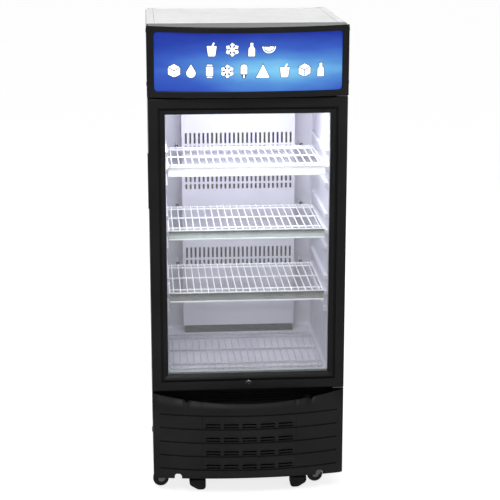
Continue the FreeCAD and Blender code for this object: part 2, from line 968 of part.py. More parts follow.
def front_grille():
    """Bowed lower cover with five grooves, four rows of vents and a dipped top edge."""
    shell = grille_band("0", "grille_wall", "grille_low", "grille_top")
    tools = [grille_dip(), grille_arch(), grille_grooves()]
    tools += grille_vents()
    tools += grille_notches()
    keep("front_grille", cut(shell, *tools))


def grille_dip():
    """Everything above the top edge, which hangs down in the middle."""
    half = "(half_width + over)"
    top = "grille_top"
    outline = [
        ("-" + half, top, bow_radius(half, "grille_smile")),
        (half, top),
        (half, top + " + over"),
        ("-" + half, top + " + over"),
    ]
    return pad_y(outline, "front_y - grille_bow - over", "front_y + grille_return + over")


def grille_arch():
    """Shallow arch under the bottom edge."""
    half = "(half_width - arch_inset)"
    outline = [
        ("-" + half, "grille_low - over"),
        (half, "grille_low - over", bow_radius(half, "grille_arch")),
    ]
    return pad_y(outline, "front_y - grille_bow - over", "front_y + grille_wall + over")


def grille_grooves():
    """Five shallow grooves that follow the bow."""
    top = f"rib_low + {RIBS - 1} * rib_pitch + rib_groove"
    skin = grille_band("-over", "rib_groove_depth", "rib_low - over", top + " + over")
    bars = []
    for row in range(RIBS):
        low = f"rib_low + {row} * rib_pitch"
        bars.append(box(("-rib_half_length", "rib_half_length"),
                        ("front_y - grille_bow - 2 * over", "front_y + rib_groove_depth + over"),
                        (low, low + " + rib_groove")))
    return common(skin, bundle(*bars))


def grille_vents():
    """Pairs of thin slots above the four lower grooves, in five columns."""
    slots = []
    for row in range(RIBS - 1):
        for step in range(2):
            low = f"rib_low + {row} * rib_pitch + vent_rise + {step} * vent_step"
            for column in centred(VENT_COLUMNS):
                middle = f"{column} * vent_pitch"
                slots.append(box((f"{middle} - vent_length / 2", f"{middle} + vent_length / 2"),
                                 ("front_y - grille_bow - over", "front_y + over"),
                                 (low, low + " + vent_slot")))
    return slots


def grille_notches():
    """V notches in the top edge and round hand notches in the bottom edge."""
    tools = []
    for sign in ("-1", "1"):
        middle = f"({sign} * notch_x)"
        edge = "(grille_top - grille_smile * (1 - notch_x * notch_x / (half_width * half_width)))"
        outline = [
            (middle, edge + " - notch_depth"),
            (middle + " + notch_width / 2", edge + " + notch_rise"),
            (middle + " - notch_width / 2", edge + " + notch_rise"),
        ]
        tools.append(pad_y(outline, "front_y - grille_bow - over", "front_y + grille_wall + over"))
        middle = f"({sign} * tow_notch_x)"
        top = "grille_low + tow_notch_height - tow_notch_width / 2 + grille_arch / 2"
        tools.append(rod("y", (middle, "front_y - grille_bow - over", top),
                         "grille_bow + grille_wall + 2 * over", "tow_notch_width / 2"))
        tools.append(box((middle + " - tow_notch_width / 2", middle + " + tow_notch_width / 2"),
                         ("front_y - grille_bow - over", "front_y + grille_wall + over"),
                         ("grille_low - over", top)))
    return tools


def louvre_panel():
    """Inner front sheet of the machine room, with fine level louvres above and an air window below."""
    across = ("-half_width + fold", "half_width - fold")
    sheet = box(across, ("case_y - louvre_sheet", "case_y"), ("base_top", "grille_top - louvre_drop"))
    ledge_low = "grille_top - louvre_ledge_drop"
    ledge = box(across, ("case_y - louvre_ledge", "case_y"), (ledge_low, ledge_low + " + louvre_sheet"))
    through = ("case_y - louvre_sheet - over", "case_y + over")
    tools = [box(("-coil_half_width", "coil_half_width"), through,
                 ("base_top + air_window_low", "base_top + coil_height - air_window_drop"))]
    for row in range(LOUVRE_ROWS):
        low = f"grille_top - louvre_first_drop + {row} * louvre_pitch"
        for left in ("-louvre_left", "louvre_right"):
            tools.append(box((left, left + " + louvre_length"), through, (low, low + " + louvre_slot")))
    keep("louvre_panel", cut(fuse(sheet, ledge), *tools))


def thermostat_knob():
    """Turning knob on the louvre panel, reached from under the door."""
    front = "case_y - louvre_sheet - knob_gap - knob_length"
    z = "grille_top - knob_drop"
    disc = rod("y", ("knob_x", front, z), "knob_length", "knob_radius")
    grip = box(("knob_x - knob_grip_width / 2", "knob_x + knob_grip_width / 2"),
               (front + " - knob_grip_proud", front + " + over"),
               (z + " - knob_radius + knob_grip_inset", z + " + knob_radius - knob_grip_inset"))
    keep("thermostat_knob", fuse(disc, grip))


# ---------------------------------------------------------------- shelves

SHELF_BACK = "(front_y + shelf_front + shelf_length)"


def wire_shelf(node, level, lift):
    """Rim, cross wires and front-to-back wires, welded where they cross."""
    top = f"({level}) + {lift}"
    low = f"{top} - 2 * wire_radius - rim_radius + weld_sink"
    bars = []
    for x in ("-shelf_half_width", "shelf_half_width"):
        bars.append(rod("y", (x, "front_y + shelf_front", low), "shelf_length", "rim_radius"))
    for share in SHELF_CROSS_WIRES:
        y = f"front_y + shelf_front + {share} * shelf_length"
        bars.append(rod("x", ("-shelf_half_width", y, low), "2 * shelf_half_width", "rim_radius"))
    for index in range(SHELF_WIRES):
        x = f"({index} - {(SHELF_WIRES - 1) / 2}) * wire_pitch"
        bars.append(rod("y", (x, "front_y + shelf_front - wire_overhang", f"{top} - wire_radius"),
                        "shelf_length + 2 * wire_overhang", "wire_radius"))
    keep(node, fuse(*bars))


def shelves():
    wire_shelf("shelf_top", "shelf_high", "0")
    wire_shelf("shelf_middle", "shelf_mid", "0")
    wire_shelf("shelf_bottom", "shelf_low", "0")
    wire_shelf("floor_rack", "cell_floor", "2 * rim_radius + 2 * wire_radius - weld_sink + rack_lift")


def price_strips():
    """Leaning label holders along the front wires of the three shelves."""
    strips = []
    for level in ("shelf_high", "shelf_mid", "shelf_low"):
        y = "(front_y + shelf_front - rim_radius - strip_gap)"
        top = f"({level} - strip_drop)"
        outline = [
            (y, top),
            (f"{y} - strip_thickness", top),
            (f"{y} - strip_thickness - strip_lean", f"{top} - strip_height"),
            (f"{y} - strip_lean", f"{top} - strip_height"),
        ]
        strips.append(pad_x(outline, "-shelf_half_width", "shelf_half_width"))
    keep("price_strips", bundle(*strips))


def shelf_ledges(node, side):
    """Moulded side wall insert with a ladder of ledges for the shelves."""
    if side < 0:
        wall = ("-inner_half", "-inner_half + insert_wall")
        step = ("-inner_half", "-inner_half + ledge_depth")
    else:
        wall = ("inner_half - insert_wall", "inner_half")
        step = ("inner_half - ledge_depth", "inner_half")
    depth = ("case_y + breaker_depth + insert_gap", "duct_y - insert_gap")
    pieces = [box(wall, depth, ("cell_floor + insert_end", "cell_roof - insert_end"))]
    for level in ("shelf_low", "shelf_mid", "shelf_high"):
        rest = f"({level} - 2 * wire_radius - 2 * rim_radius + weld_sink)"
        for jump in (-1, 0, 1):
            top = f"({rest} + {jump} * ledge_pitch)"
            pieces.append(box(step, depth, (f"{top} - ledge_height", top)))
    keep(node, fuse(*pieces))


def shelf_clips():
    """Black clips on the back pilasters that catch each shelf's back wire."""
    clips = []
    for level in ("shelf_low", "shelf_mid", "shelf_high"):
        for x in ("-clip_x", "clip_x"):
            low = f"{level} - 2 * wire_radius - 2 * rim_radius"
            clips.append(box((f"{x} - clip_width / 2", f"{x} + clip_width / 2"),
                             (SHELF_BACK + " + rim_radius + clip_gap", "cell_back"),
                             (low, low + " + clip_height")))
    keep("shelf_clips", bundle(*clips))


# ---------------------------------------------------------------- air duct and cold parts

def duct_panel():
    """Raised back panel with slots above each shelf and an air gap over the floor."""
    low = "(cell_floor + duct_gap_low)"
    high = "(cell_roof - duct_gap_top)"
    outer = box(("-duct_half_width", "duct_half_width"), ("duct_y", "cell_back"), (low, high))
    inner = box(("-duct_half_width + duct_wall", "duct_half_width - duct_wall"),
                ("duct_y + duct_wall", "cell_back + over"), (f"{low} - over", f"{high} - duct_wall"))
    slots = []
    for start in ("shelf_high + slots_top", "shelf_mid + slots_middle", "shelf_low + slots_low"):
        tiers = (
            (f"{start} - slot_tall", start),
            (f"{start} - slot_tall - slot_space - slot_short", f"{start} - slot_tall - slot_space"),
        )
        for tier in tiers:
            for index in centred(DUCT_SLOTS):
                middle = f"{index} * slot_pitch"
                slots.append(box((f"{middle} - slot_width / 2", f"{middle} + slot_width / 2"),
                                 ("duct_y - over", "duct_y + duct_wall + over"), tier))
    keep("duct_panel", cut(cut(outer, inner), *slots))


def evaporator_coil():
    """Finned block in the duct with its two headers."""
    front = "duct_y + evaporator_front_gap"
    back = "cell_back - evaporator_back_gap"
    low = "shelf_high + evaporator_low"
    high = low + " + evaporator_height"
    block = box(("-evaporator_half_width", "evaporator_half_width"), (front, back), (low, high))
    ends = []
    for x in ("-evaporator_half_width - evaporator_end", "evaporator_half_width"):
        ends.append(box((x, x + " + evaporator_end"),
                        (front + " + evaporator_end_inset", back + " - evaporator_end_inset"),
                        (low + " + evaporator_end_inset", high + " - evaporator_end_inset")))
    keep("evaporator_coil", fuse(block, *ends))


def fan_blades(hub_z, hub_low, radius, hub_radius, hub_length):
    """Hub with a bore and leaning blades about an axis along Y, on the middle of the case."""
    hub = rod("y", ("0", hub_low, hub_z), hub_length, hub_radius)
    centre = FreeCAD.Vector(0, value(f"{hub_low} + {hub_length} / 2"), value(hub_z))
    root = FreeCAD.Vector(value(f"{hub_radius} - blade_root"), value("-blade_thickness / 2"),
                          value(f"-{hub_radius} * {BLADE_CHORD / 2}"))
    lean = FreeCAD.Rotation(FreeCAD.Vector(1, 0, 0), value("fan_blade_angle"))
    blades = []
    for index in range(FAN_BLADES):
        blade = DOC.addObject("Part::Box", "blade")
        bind(blade, "Length", f"{radius} - {hub_radius} + blade_root")
        bind(blade, "Width", "blade_thickness")
        bind(blade, "Height", f"{hub_radius} * {BLADE_CHORD}")
        spin = FreeCAD.Rotation(FreeCAD.Vector(0, 1, 0), 360 / FAN_BLADES * index)
        place = FreeCAD.Placement(centre, spin * lean)
        blade.Placement = place.multiply(FreeCAD.Placement(root, FreeCAD.Rotation()))
        blades.append(blade)
    bore = rod("y", ("0", f"{hub_low} - over", hub_z), f"{hub_length} + 2 * over",
               "shaft_radius + shaft_play")
    return cut(fuse(hub, *blades), bore)


def cold_fan():
    """Evaporator fan: motor on the liner's back, blades in front of it."""
    z = "shelf_mid + cold_fan_rise"
    front = "cell_back - cold_fan_front"
    motor = rod("y", ("0", "cell_back - cold_motor_length", z), "cold_motor_length", "cold_motor_radius")
    shaft = rod("y", ("0", front + " - 2 * over", z), "cold_fan_front - cold_motor_length + 3 * over",
                "shaft_radius")
    keep("cold_fan_motor", fuse(motor, shaft))
    keep("cold_fan_blades", fan_blades(z, front, "cold_fan_radius", "cold_hub_radius", "cold_hub_length"))


def cell_lamp():
    """Lamp bar under the cell's roof, behind the mouth."""
    front = "case_y + breaker_depth + cell_lamp_gap"
    bar = box(("-inner_half + cell_lamp_inset", "inner_half - cell_lamp_inset"),
              (front, front + " + cell_lamp_depth"), ("cell_roof - cell_lamp_height", "cell_roof"))
    keep("cell_lamp", bar)


# ---------------------------------------------------------------- machinery

def compressor():
    """Welded steel can on its foot plate."""
    x = "-compressor_left"
    y = "back_y - compressor_back"
    low = "base_top + grommet_height"
    plate = box((f"{x} - foot_plate_half_width", f"{x} + foot_plate_half_width"),
                (f"{y} - foot_plate_half_depth", f"{y} + foot_plate_half_depth"),
                (low, f"{low} + foot_plate"))
    can = rod("z", (x, y, f"{low} + foot_plate"), "compressor_height", "compressor_radius")
    dome = DOC.addObject("Part::Ellipsoid", "dome")
    bind(dome, "Radius2", "compressor_radius")
    bind(dome, "Radius3", "compressor_radius")
    bind(dome, "Radius1", "dome_height")
    move(dome, x, y, f"{low} + foot_plate + compressor_height")
    keep("compressor", fuse(plate, can, dome))
    feet = []
    for across in ("-grommet_across", "grommet_across"):
        for along in ("-grommet_along", "grommet_along"):
            feet.append(rod("z", (f"{x} + {across}", f"{y} + {along}", "base_top"), "grommet_height",
                            "grommet_radius"))
    keep("compressor_grommets", bundle(*feet))


def condenser():
    """Finned block behind the grille, its fan and the fan's motor bracket."""
    front = "(front_y + coil_front)"
    low = "base_top + coil_lift"
    block = box(("-coil_half_width", "coil_half_width"), (front, f"{front} + coil_depth"),
                (low, low + " + coil_height"))
    cheeks = []
    for x in ("-coil_half_width - coil_cheek", "coil_half_width"):
        cheeks.append(box((x, x + " + coil_cheek"),
                          (f"{front} - cheek_over", f"{front} + coil_depth + cheek_over"),
                          ("base_top", low + " + coil_height + cheek_over")))
    keep("condenser_coil", fuse(block, *cheeks))
    z = "base_top + fan_rise"
    hub_low = f"{front} + coil_depth + fan_gap"
    keep("condenser_fan_blades", fan_blades(z, hub_low, "fan_radius", "fan_hub", "fan_hub_length"))
    motor_low = f"{hub_low} + fan_hub_length + motor_gap"
    motor = rod("y", ("0", motor_low, z), "motor_length", "motor_radius")
    shaft = rod("y", ("0", f"{hub_low} + 2 * over", z), "fan_hub_length + motor_gap", "shaft_radius")
    foot = box(("-motor_foot_half", "motor_foot_half"),
               (f"{motor_low} + motor_foot_start", f"{motor_low} + motor_foot_end"), ("base_top", z))
    keep("condenser_fan_motor", fuse(motor, shaft, foot))


def drain_pan():
    """Open pan beside the compressor that dries off the melt water."""
    outer = box(("pan_left", "pan_right"), ("back_y - pan_front", "back_y - pan_back"),
                ("base_top", "base_top + pan_height"))
    inner = box(("pan_left + pan_wall", "pan_right - pan_wall"),
                ("back_y - pan_front + pan_wall", "back_y - pan_back - pan_wall"),
                ("base_top + pan_wall", "base_top + pan_height + over"))
    keep("drain_pan", cut(outer, inner))


def refrigerant_tubes():
    """Drier and the straight runs from the compressor's can to the cold wall."""
    y = "(back_y - tube_back)"
    z = "(base_top + tube_rise)"
    drier = rod("x", ("-drier_start", y, z), "drier_length", "drier_radius")
    offset = "(tube_back - compressor_back)"
    can_side = f"(sqrt(compressor_radius * compressor_radius - {offset} * {offset}) - compressor_left)"
    inlet = f"({can_side} + tube_gap)"
    outlet = "(drier_length - drier_start - 2 * over)"
    runs = [
        rod("x", (inlet, y, z), f"-drier_start + 2 * over - {inlet}", "tube_radius"),
        rod("x", (outlet, y, z), f"riser_x + tube_radius - {outlet}", "tube_radius"),
        rod("z", ("riser_x", y, z), "riser_height", "tube_radius"),
    ]
    keep("refrigerant_tubes", fuse(drier, *runs))


# ---------------------------------------------------------------- running gear

CASTERS = (
    ("front_left", "-caster_x", "front_y + caster_front"),
    ("front_right", "caster_x", "front_y + caster_front"),
    ("rear_left", "-caster_x", "back_y - caster_rear"),
    ("rear_right", "caster_x", "back_y - caster_rear"),
)

SWIVEL_TOP = "(base_top - base_plate - plate_thickness - swivel_play)"


def caster_plates():
    """Square top plates with the swivel's pin."""
    plates = []
    for _, x, y in CASTERS:
        plate = box((f"{x} - plate_side / 2", f"{x} + plate_side / 2"),
                    (f"{y} - plate_side / 2", f"{y} + plate_side / 2"),
                    ("base_top - base_plate - plate_thickness", "base_top - base_plate"))
        pin = rod("z", (x, y, SWIVEL_TOP + " - swivel_height - 2 * over"),
                  "swivel_height + swivel_play + 3 * over", "axle_radius")
        plates.append(fuse(plate, pin))
    keep("caster_plates", bundle(*plates))


def caster(name, x, y):
    """Fork that trails to the left, with its axle, and the wheel."""
    wheel_x = f"({x} - caster_trail)"
    cap_low = SWIVEL_TOP + " - swivel_height"
    cap = rod("z", (x, y, cap_low), "swivel_height", "swivel_radius")
    half = "(wheel_width / 2 + fork_gap)"
    crown_low = cap_low + " - fork_wall"
    crown = box((f"{x} - fork_tail", f"{x} + fork_nose"),
                (f"{y} - {half} - fork_wall", f"{y} + {half} + fork_wall"),
                (crown_low, cap_low + " + over / 2"))
    legs = []
    for low in (f"({y} - {half} - fork_wall)", f"({y} + {half})"):
        outline = [
            (f"{x} + fork_nose", crown_low + " + over / 2"),
            (f"{x} - fork_tail", crown_low + " + over / 2"),
            (f"{wheel_x} - leg_tail", "wheel_radius + leg_rise"),
            (f"{wheel_x} - leg_foot_back", "wheel_radius - leg_foot_drop"),
            (f"{wheel_x} + leg_foot_front", "wheel_radius - leg_foot_drop"),
        ]
        legs.append(pad_y(outline, low, f"{low} + fork_wall"))
    axle = rod("y", (wheel_x, f"{y} - {half} - fork_wall - over", "wheel_radius"),
               f"2 * {half} + 2 * fork_wall + 2 * over", "axle_radius")
    bore = rod("z", (x, y, crown_low + " - over"), "swivel_height + fork_wall + 2 * over",
               "axle_radius + axle_play")
    keep("caster_fork_" + name, fuse(cut(fuse(cap, crown, *legs), bore), axle))
    tyre = rod("y", (wheel_x, f"{y} - wheel_width / 2", "wheel_radius"), "wheel_width", "wheel_radius")
    hole = rod("y", (wheel_x, f"{y} - wheel_width", "wheel_radius"), "2 * wheel_width",
               "axle_radius + axle_play")
    keep("caster_wheel_" + name, cut(tyre, hole))


def casters():
    caster_plates()
    for name, x, y in CASTERS:
        caster(name, x, y)


def levelling_foot(node, x, way):
    """Screw-down foot: wedge pad whose outer side slopes up, and its stem through the base."""
    inner = f"({x} - ({way}) * foot_half_width)"
    outline = [
        (inner, "foot_lift"),
        (f"{inner} + ({way}) * foot_toe", "foot_lift"),
        (f"{x} + ({way}) * foot_half_width", "foot_lift + foot_height - foot_side"),
        (f"{x} + ({way}) * foot_half_width", "foot_lift + foot_height"),
        (inner, "foot_lift + foot_height"),
    ]
    y = "(front_y + foot_front)"
    block = pad_y(outline, f"{y} - foot_depth / 2", f"{y} + foot_depth / 2")
    stem = rod("z", (x, y, "foot_lift + foot_height - over"),
               "base_top + stem_rise - foot_lift - foot_height + over", "stem_radius")
    keep(node, fuse(block, stem))


def levelling_feet():
    levelling_foot("foot_left", "(-foot_x)", "-1")
    levelling_foot("foot_right", "foot_x", "1")


# ---------------------------------------------------------------- build

def fill_sheet():
    for row, (name, size) in enumerate(SIZES.items(), start=1):
        SHEET.set(f"A{row}", name)
        SHEET.set(f"B{row}", str(size))
        SHEET.setAlias(f"B{row}", name)
    DOC.recompute()


def model():
    side_panel("side_panel_left", -1)
    side_panel("side_panel_right", 1)
    top_panel()
    back_panel()
    foam_core()
    inner_liner()
    breaker_frame()
    base_frame()
    rear_spacers()
    header_frame()
    header_top_cover()
    sign_panel()
    lamp_tray()
    sign_lamps()
    cover_screws()
    door_stiles()
    door_rails()
    glazing()
    door_gasket()
    door_grip()
    lock_cylinder()
    hinges()
    front_grille()
    louvre_panel()
    thermostat_knob()
    shelves()
    price_strips()
    shelf_ledges("shelf_ledges_left", -1)
    shelf_ledges("shelf_ledges_right", 1)
    shelf_clips()
    duct_panel()
    evaporator_coil()
    cold_fan()
    cell_lamp()
    compressor()
    condenser()
    drain_pan()
    refrigerant_tubes()
    casters()
    levelling_feet()


def check():
    """Stops before anything is written if an object failed or a sub-part is not sound."""
    for thing in DOC.Objects:
        if "Invalid" in thing.State or "Error" in thing.State:
            raise RuntimeError(f"{thing.Name} ({thing.Label}) failed: {thing.State}")
    for part in PARTS:
        if part.Shape.isNull() or not part.Shape.isValid() or not part.Shape.Solids:
            raise RuntimeError(f"{part.Label} has no sound shape")


def write():
    os.makedirs("parts", exist_ok=True)
    for part in PARTS:
        part.Shape.exportStep(f"parts/{part.Label}.step")
        print(part.Label, len(part.Shape.Solids), round(part.Shape.Volume))
    print(len(PARTS), "sub-parts")


fill_sheet()
model()
DOC.recompute()
check()
write()
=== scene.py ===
import math

import bmesh
import bpy
from mathutils import Matrix, Vector


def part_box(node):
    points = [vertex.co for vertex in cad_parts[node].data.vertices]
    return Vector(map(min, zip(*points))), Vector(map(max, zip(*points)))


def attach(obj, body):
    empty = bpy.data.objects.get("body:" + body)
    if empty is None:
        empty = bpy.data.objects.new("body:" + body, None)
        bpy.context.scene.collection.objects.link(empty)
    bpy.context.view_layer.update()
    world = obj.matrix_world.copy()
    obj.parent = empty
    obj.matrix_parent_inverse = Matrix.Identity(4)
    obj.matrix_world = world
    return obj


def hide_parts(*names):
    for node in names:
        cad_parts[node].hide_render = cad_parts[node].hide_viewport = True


# Glass door merchandiser. Everything is in metres, in the row frame: +X to the
# right of the front, +Y to the back, +Z up, the floor at Z = 0.

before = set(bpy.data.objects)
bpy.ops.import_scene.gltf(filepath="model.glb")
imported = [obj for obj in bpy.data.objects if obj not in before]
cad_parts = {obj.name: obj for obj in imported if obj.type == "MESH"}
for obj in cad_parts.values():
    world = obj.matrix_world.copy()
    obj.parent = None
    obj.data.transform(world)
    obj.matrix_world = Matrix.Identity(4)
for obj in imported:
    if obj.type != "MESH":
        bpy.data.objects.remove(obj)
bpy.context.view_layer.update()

MM = 0.001


def low(node):
    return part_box(node)[0]


def high(node):
    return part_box(node)[1]


# Places that come from the frame.
HALF = high("door_rail_top").x
FRONT = low("door_rail_top").y
DOOR_BACK = high("door_rail_top").y
DOOR_LOW = low("door_rail_bottom").z
DOOR_TOP = high("door_rail_top").z
CASE_FRONT = low("foam_core").y
CASE_BACK = high("back_panel").y
TOP = high("header_frame").z
HEADER_LOW = low("header_frame").z
HEADER_BACK = high("header_frame").y
LINER_WALL = 1.6 * MM
CELL_LOW = low("breaker_frame").z + LINER_WALL
CELL_HIGH = high("breaker_frame").z - LINER_WALL
CELL_HALF = high("breaker_frame").x - LINER_WALL
CELL_BACK = high("inner_liner").y - LINER_WALL

# Driving sizes of the looks.
BOW_LOW = 26 * MM
BOW_TOP = 70 * MM
HOUSING_WALL = 3 * MM
WINDOW_WIDTH = 563 * MM
WINDOW_HEIGHT = 179 * MM
WINDOW_RISE = 16 * MM
WINDOW_RADIUS = 12 * MM
CELL_RADIUS = 14 * MM


# ---- materials

def linear(share):
    return share / 12.92 if share <= 0.04045 else ((share + 0.055) / 1.055) ** 2.4


def shade(red, green, blue):
    """A colour given as on a screen, 0 to 255 a channel."""
    return tuple(linear(c / 255) for c in (red, green, blue)) + (1.0,)


class Surface:
    """A Principled material whose colour, roughness and relief vary over the row frame."""

    def __init__(self, name, metallic=0.0, specular=0.5, coat=0.0):
        self.material = bpy.data.materials.new(name)
        self.material.use_nodes = True
        self.tree = self.material.node_tree
        self.shader = self.tree.nodes["Principled BSDF"]
        self.fix("Metallic", metallic)
        self.fix("Specular IOR Level", specular)
        self.fix("Coat Weight", coat)
        self.place = self.node("ShaderNodeTexCoord").outputs["Object"]

    def node(self, kind, **settings):
        made = self.tree.nodes.new(kind)
        for key, setting in settings.items():
            setattr(made, key, setting)
        return made

    def link(self, source, target):
        self.tree.links.new(source, target)

    def fix(self, socket, value):
        """A constant, set on the shader's own socket."""
        self.shader.inputs[socket].default_value = value

    def feed(self, socket, source):
        self.link(source, self.shader.inputs[socket])

    def stretched(self, stretch):
        mapping = self.node("ShaderNodeMapping")
        mapping.inputs["Scale"].default_value = stretch
        self.link(self.place, mapping.inputs["Vector"])
        return mapping.outputs["Vector"]

    def noise(self, scale, detail=3.0, stretch=(1, 1, 1)):
        noise = self.node("ShaderNodeTexNoise")
        noise.inputs["Scale"].default_value = scale
        noise.inputs["Detail"].default_value = detail
        self.link(self.stretched(stretch), noise.inputs["Vector"])
        return noise.outputs["Fac"]

    def cells(self, scale):
        cells = self.node("ShaderNodeTexVoronoi")
        cells.inputs["Scale"].default_value = scale
        self.link(self.place, cells.inputs["Vector"])
        return cells.outputs["Distance"]

    def ramp(self, factor, stops):
        ramp = self.node("ShaderNodeValToRGB")
        elements = ramp.color_ramp.elements
        while len(elements) < len(stops):
            elements.new(0.5)
        for element, (spot, colour) in zip(elements, stops):
            element.position = spot
            element.color = colour if isinstance(colour, tuple) else (colour, colour, colour, 1.0)
        self.link(factor, ramp.inputs["Fac"])
        return ramp.outputs["Color"]

    def remap(self, source, from_low, from_high, to_low=0.0, to_high=1.0):
        mapped = self.node("ShaderNodeMapRange")
        for name, number in (("From Min", from_low), ("From Max", from_high),
                             ("To Min", to_low), ("To Max", to_high)):
            mapped.inputs[name].default_value = number
        self.link(source, mapped.inputs["Value"])
        return mapped.outputs["Result"]

    def sum_of(self, first, second, operation="ADD"):
        maths = self.node("ShaderNodeMath", operation=operation)
        for slot_at, source in enumerate((first, second)):
            if isinstance(source, (int, float)):
                maths.inputs[slot_at].default_value = source
            else:
                self.link(source, maths.inputs[slot_at])
        return maths.outputs["Value"]

    def axis(self, name):
        parts = self.node("ShaderNodeSeparateXYZ")
        self.link(self.place, parts.inputs["Vector"])
        return parts.outputs[name]

    def colour(self, factor, dark, light):
        self.feed("Base Color", self.ramp(factor, [(0.3, shade(*dark)), (0.7, shade(*light))]))

    def rough(self, factor, least, most):
        self.feed("Roughness", self.remap(factor, 0.3, 0.7, least, most))

    def relief(self, height, strength, distance):
        bump = self.node("ShaderNodeBump")
        bump.inputs["Strength"].default_value = strength
        bump.inputs["Distance"].default_value = distance
        self.link(height, bump.inputs["Height"])
        self.feed("Normal", bump.outputs["Normal"])


def moulded(name, dark, light, rough, grain=1400, depth=0.00006, strength=0.25, specular=0.5):
    """Moulded plastic: a fine grain, slow changes of tone and smudged gloss."""
    surface = Surface(name, specular=specular)
    surface.colour(surface.noise(7, 4), dark, light)
    surface.rough(surface.noise(16, 5), *rough)
    surface.relief(surface.cells(grain), strength, depth)
    return surface.material


def painted(name, dark, light, rough, coat=0.0, specular=0.5):
    """Paint on sheet metal, with the dimpled skin that sprayed paint has."""
    surface = Surface(name, coat=coat, specular=specular)
    surface.colour(surface.noise(5, 3), dark, light)
    surface.rough(surface.noise(30, 4), *rough)
    surface.relief(surface.noise(420, 2), 0.12, 0.0001)
    return surface.material


def metal(name, dark, light, rough, stretch=(1, 1, 60), scale=40):
    """Bare metal with the fine drawn lines of its finish."""
    surface = Surface(name, metallic=1.0)
    lines = surface.noise(scale, 4, stretch)
    surface.colour(lines, dark, light)
    surface.rough(surface.noise(scale, 3, stretch), *rough)
    surface.relief(lines, 0.08, 0.00005)
    return surface.material


def rubber(name, dark, light):
    surface = Surface(name, specular=0.3)
    surface.colour(surface.noise(25, 4), dark, light)
    surface.rough(surface.noise(60, 3), 0.6, 0.85)
    surface.relief(surface.noise(900, 2), 0.3, 0.0001)
    return surface.material


def foamed(name):
    """Foam; its front edge, bare round the mouth when the door is open, has a grey skin."""
    surface = Surface(name, specular=0.2)
    cells = surface.cells(320)
    depth = surface.remap(surface.axis("Y"), CASE_FRONT + 0.5 * MM, CASE_FRONT + 1.5 * MM, 0, 0.5)
    cloud = surface.remap(surface.noise(18, 5), 0.3, 0.7, 0, 0.5)
    stops = [(0, shade(186, 186, 189)), (0.49, shade(196, 196, 199)),
             (0.51, shade(205, 182, 120)), (1, shade(232, 212, 150))]
    surface.feed("Base Color", surface.ramp(surface.sum_of(depth, cloud), stops))
    surface.rough(cells, 0.8, 0.95)
    surface.relief(cells, 0.6, 0.0006)
    return surface.material


def window_glass(name):
    """Clear glass with a breath of unevenness in its polish."""
    surface = Surface(name)
    surface.fix("Base Color", (0.985, 0.995, 0.99, 1))
    surface.fix("Transmission Weight", 1.0)
    surface.fix("IOR", 1.45)
    surface.fix("Roughness", 0.0)
    surface.relief(surface.noise(6, 2), 0.02, 0.0004)
    return surface.material


def lit_sign(name):
    """Backlit print: night blue at the top and left, a pale glow right of the middle."""
    surface = Surface(name, specular=0.15)
    width = WINDOW_WIDTH / 2
    base = HEADER_LOW + WINDOW_RISE
    across = surface.remap(surface.axis("X"), -width, width)
    up = surface.remap(surface.axis("Z"), base, base + WINDOW_HEIGHT)
    drift = surface.noise(9, 3, (0.6, 1, 2.2))
    rise = surface.ramp(up, [(0.0, 0.50), (0.12, 0.64), (0.35, 1.0), (0.52, 0.86),
                             (0.72, 0.42), (0.98, 0.05)])
    span = surface.ramp(across, [(0.0, 0.40), (0.22, 0.62), (0.46, 0.92), (0.66, 1.0), (1.0, 0.76)])
    glow = surface.sum_of(rise, span, "MULTIPLY")
    streak = surface.remap(drift, 0.3, 0.7, -0.07, 0.07)
    level = surface.sum_of(glow, streak)
    colour = surface.ramp(level, [(0.0, shade(14, 30, 150)), (0.38, shade(52, 88, 190)),
                                  (0.68, shade(82, 142, 214)), (0.98, shade(134, 212, 246))])
    surface.fix("Base Color", (0.01, 0.02, 0.05, 1))
    surface.fix("Roughness", 0.35)
    surface.feed("Emission Color", colour)
    surface.fix("Emission Strength", 1.0)
    return surface.material


def glowing(name, dark, light, strength):
    """A lit surface whose brightness wavers a little."""
    surface = Surface(name)
    surface.feed("Emission Color",
                 surface.ramp(surface.noise(40, 3), [(0.3, shade(*dark)), (0.7, shade(*light))]))
    surface.fix("Base Color", (0.8, 0.8, 0.8, 1))
    surface.fix("Roughness", 0.4)
    surface.fix("Emission Strength", strength)
    return surface.material


def label_strip(name, base, height, dark, light):
    """Label holder: painted shade dark towards its top, painted light pale towards its foot, white lips
    on both edges.
    """
    surface = Surface(name)
    dark, light = shade(*dark), shade(*light)
    up = surface.remap(surface.axis("Z"), base, base + height)
    grain = surface.remap(surface.noise(12, 3, (4, 1, 1)), 0.3, 0.7, -0.012, 0.012)
    white = shade(236, 238, 242)
    # Painted shade under the top wire and painted light towards the foot, between white edge lips.
    stops = [(0.13, white), (0.17, light), (0.42, light), (0.82, dark), (0.87, dark), (0.90, white)]
    surface.feed("Base Color", surface.ramp(surface.sum_of(up, grain), stops))
    surface.rough(surface.noise(30, 3), 0.22, 0.38)
    return surface.material


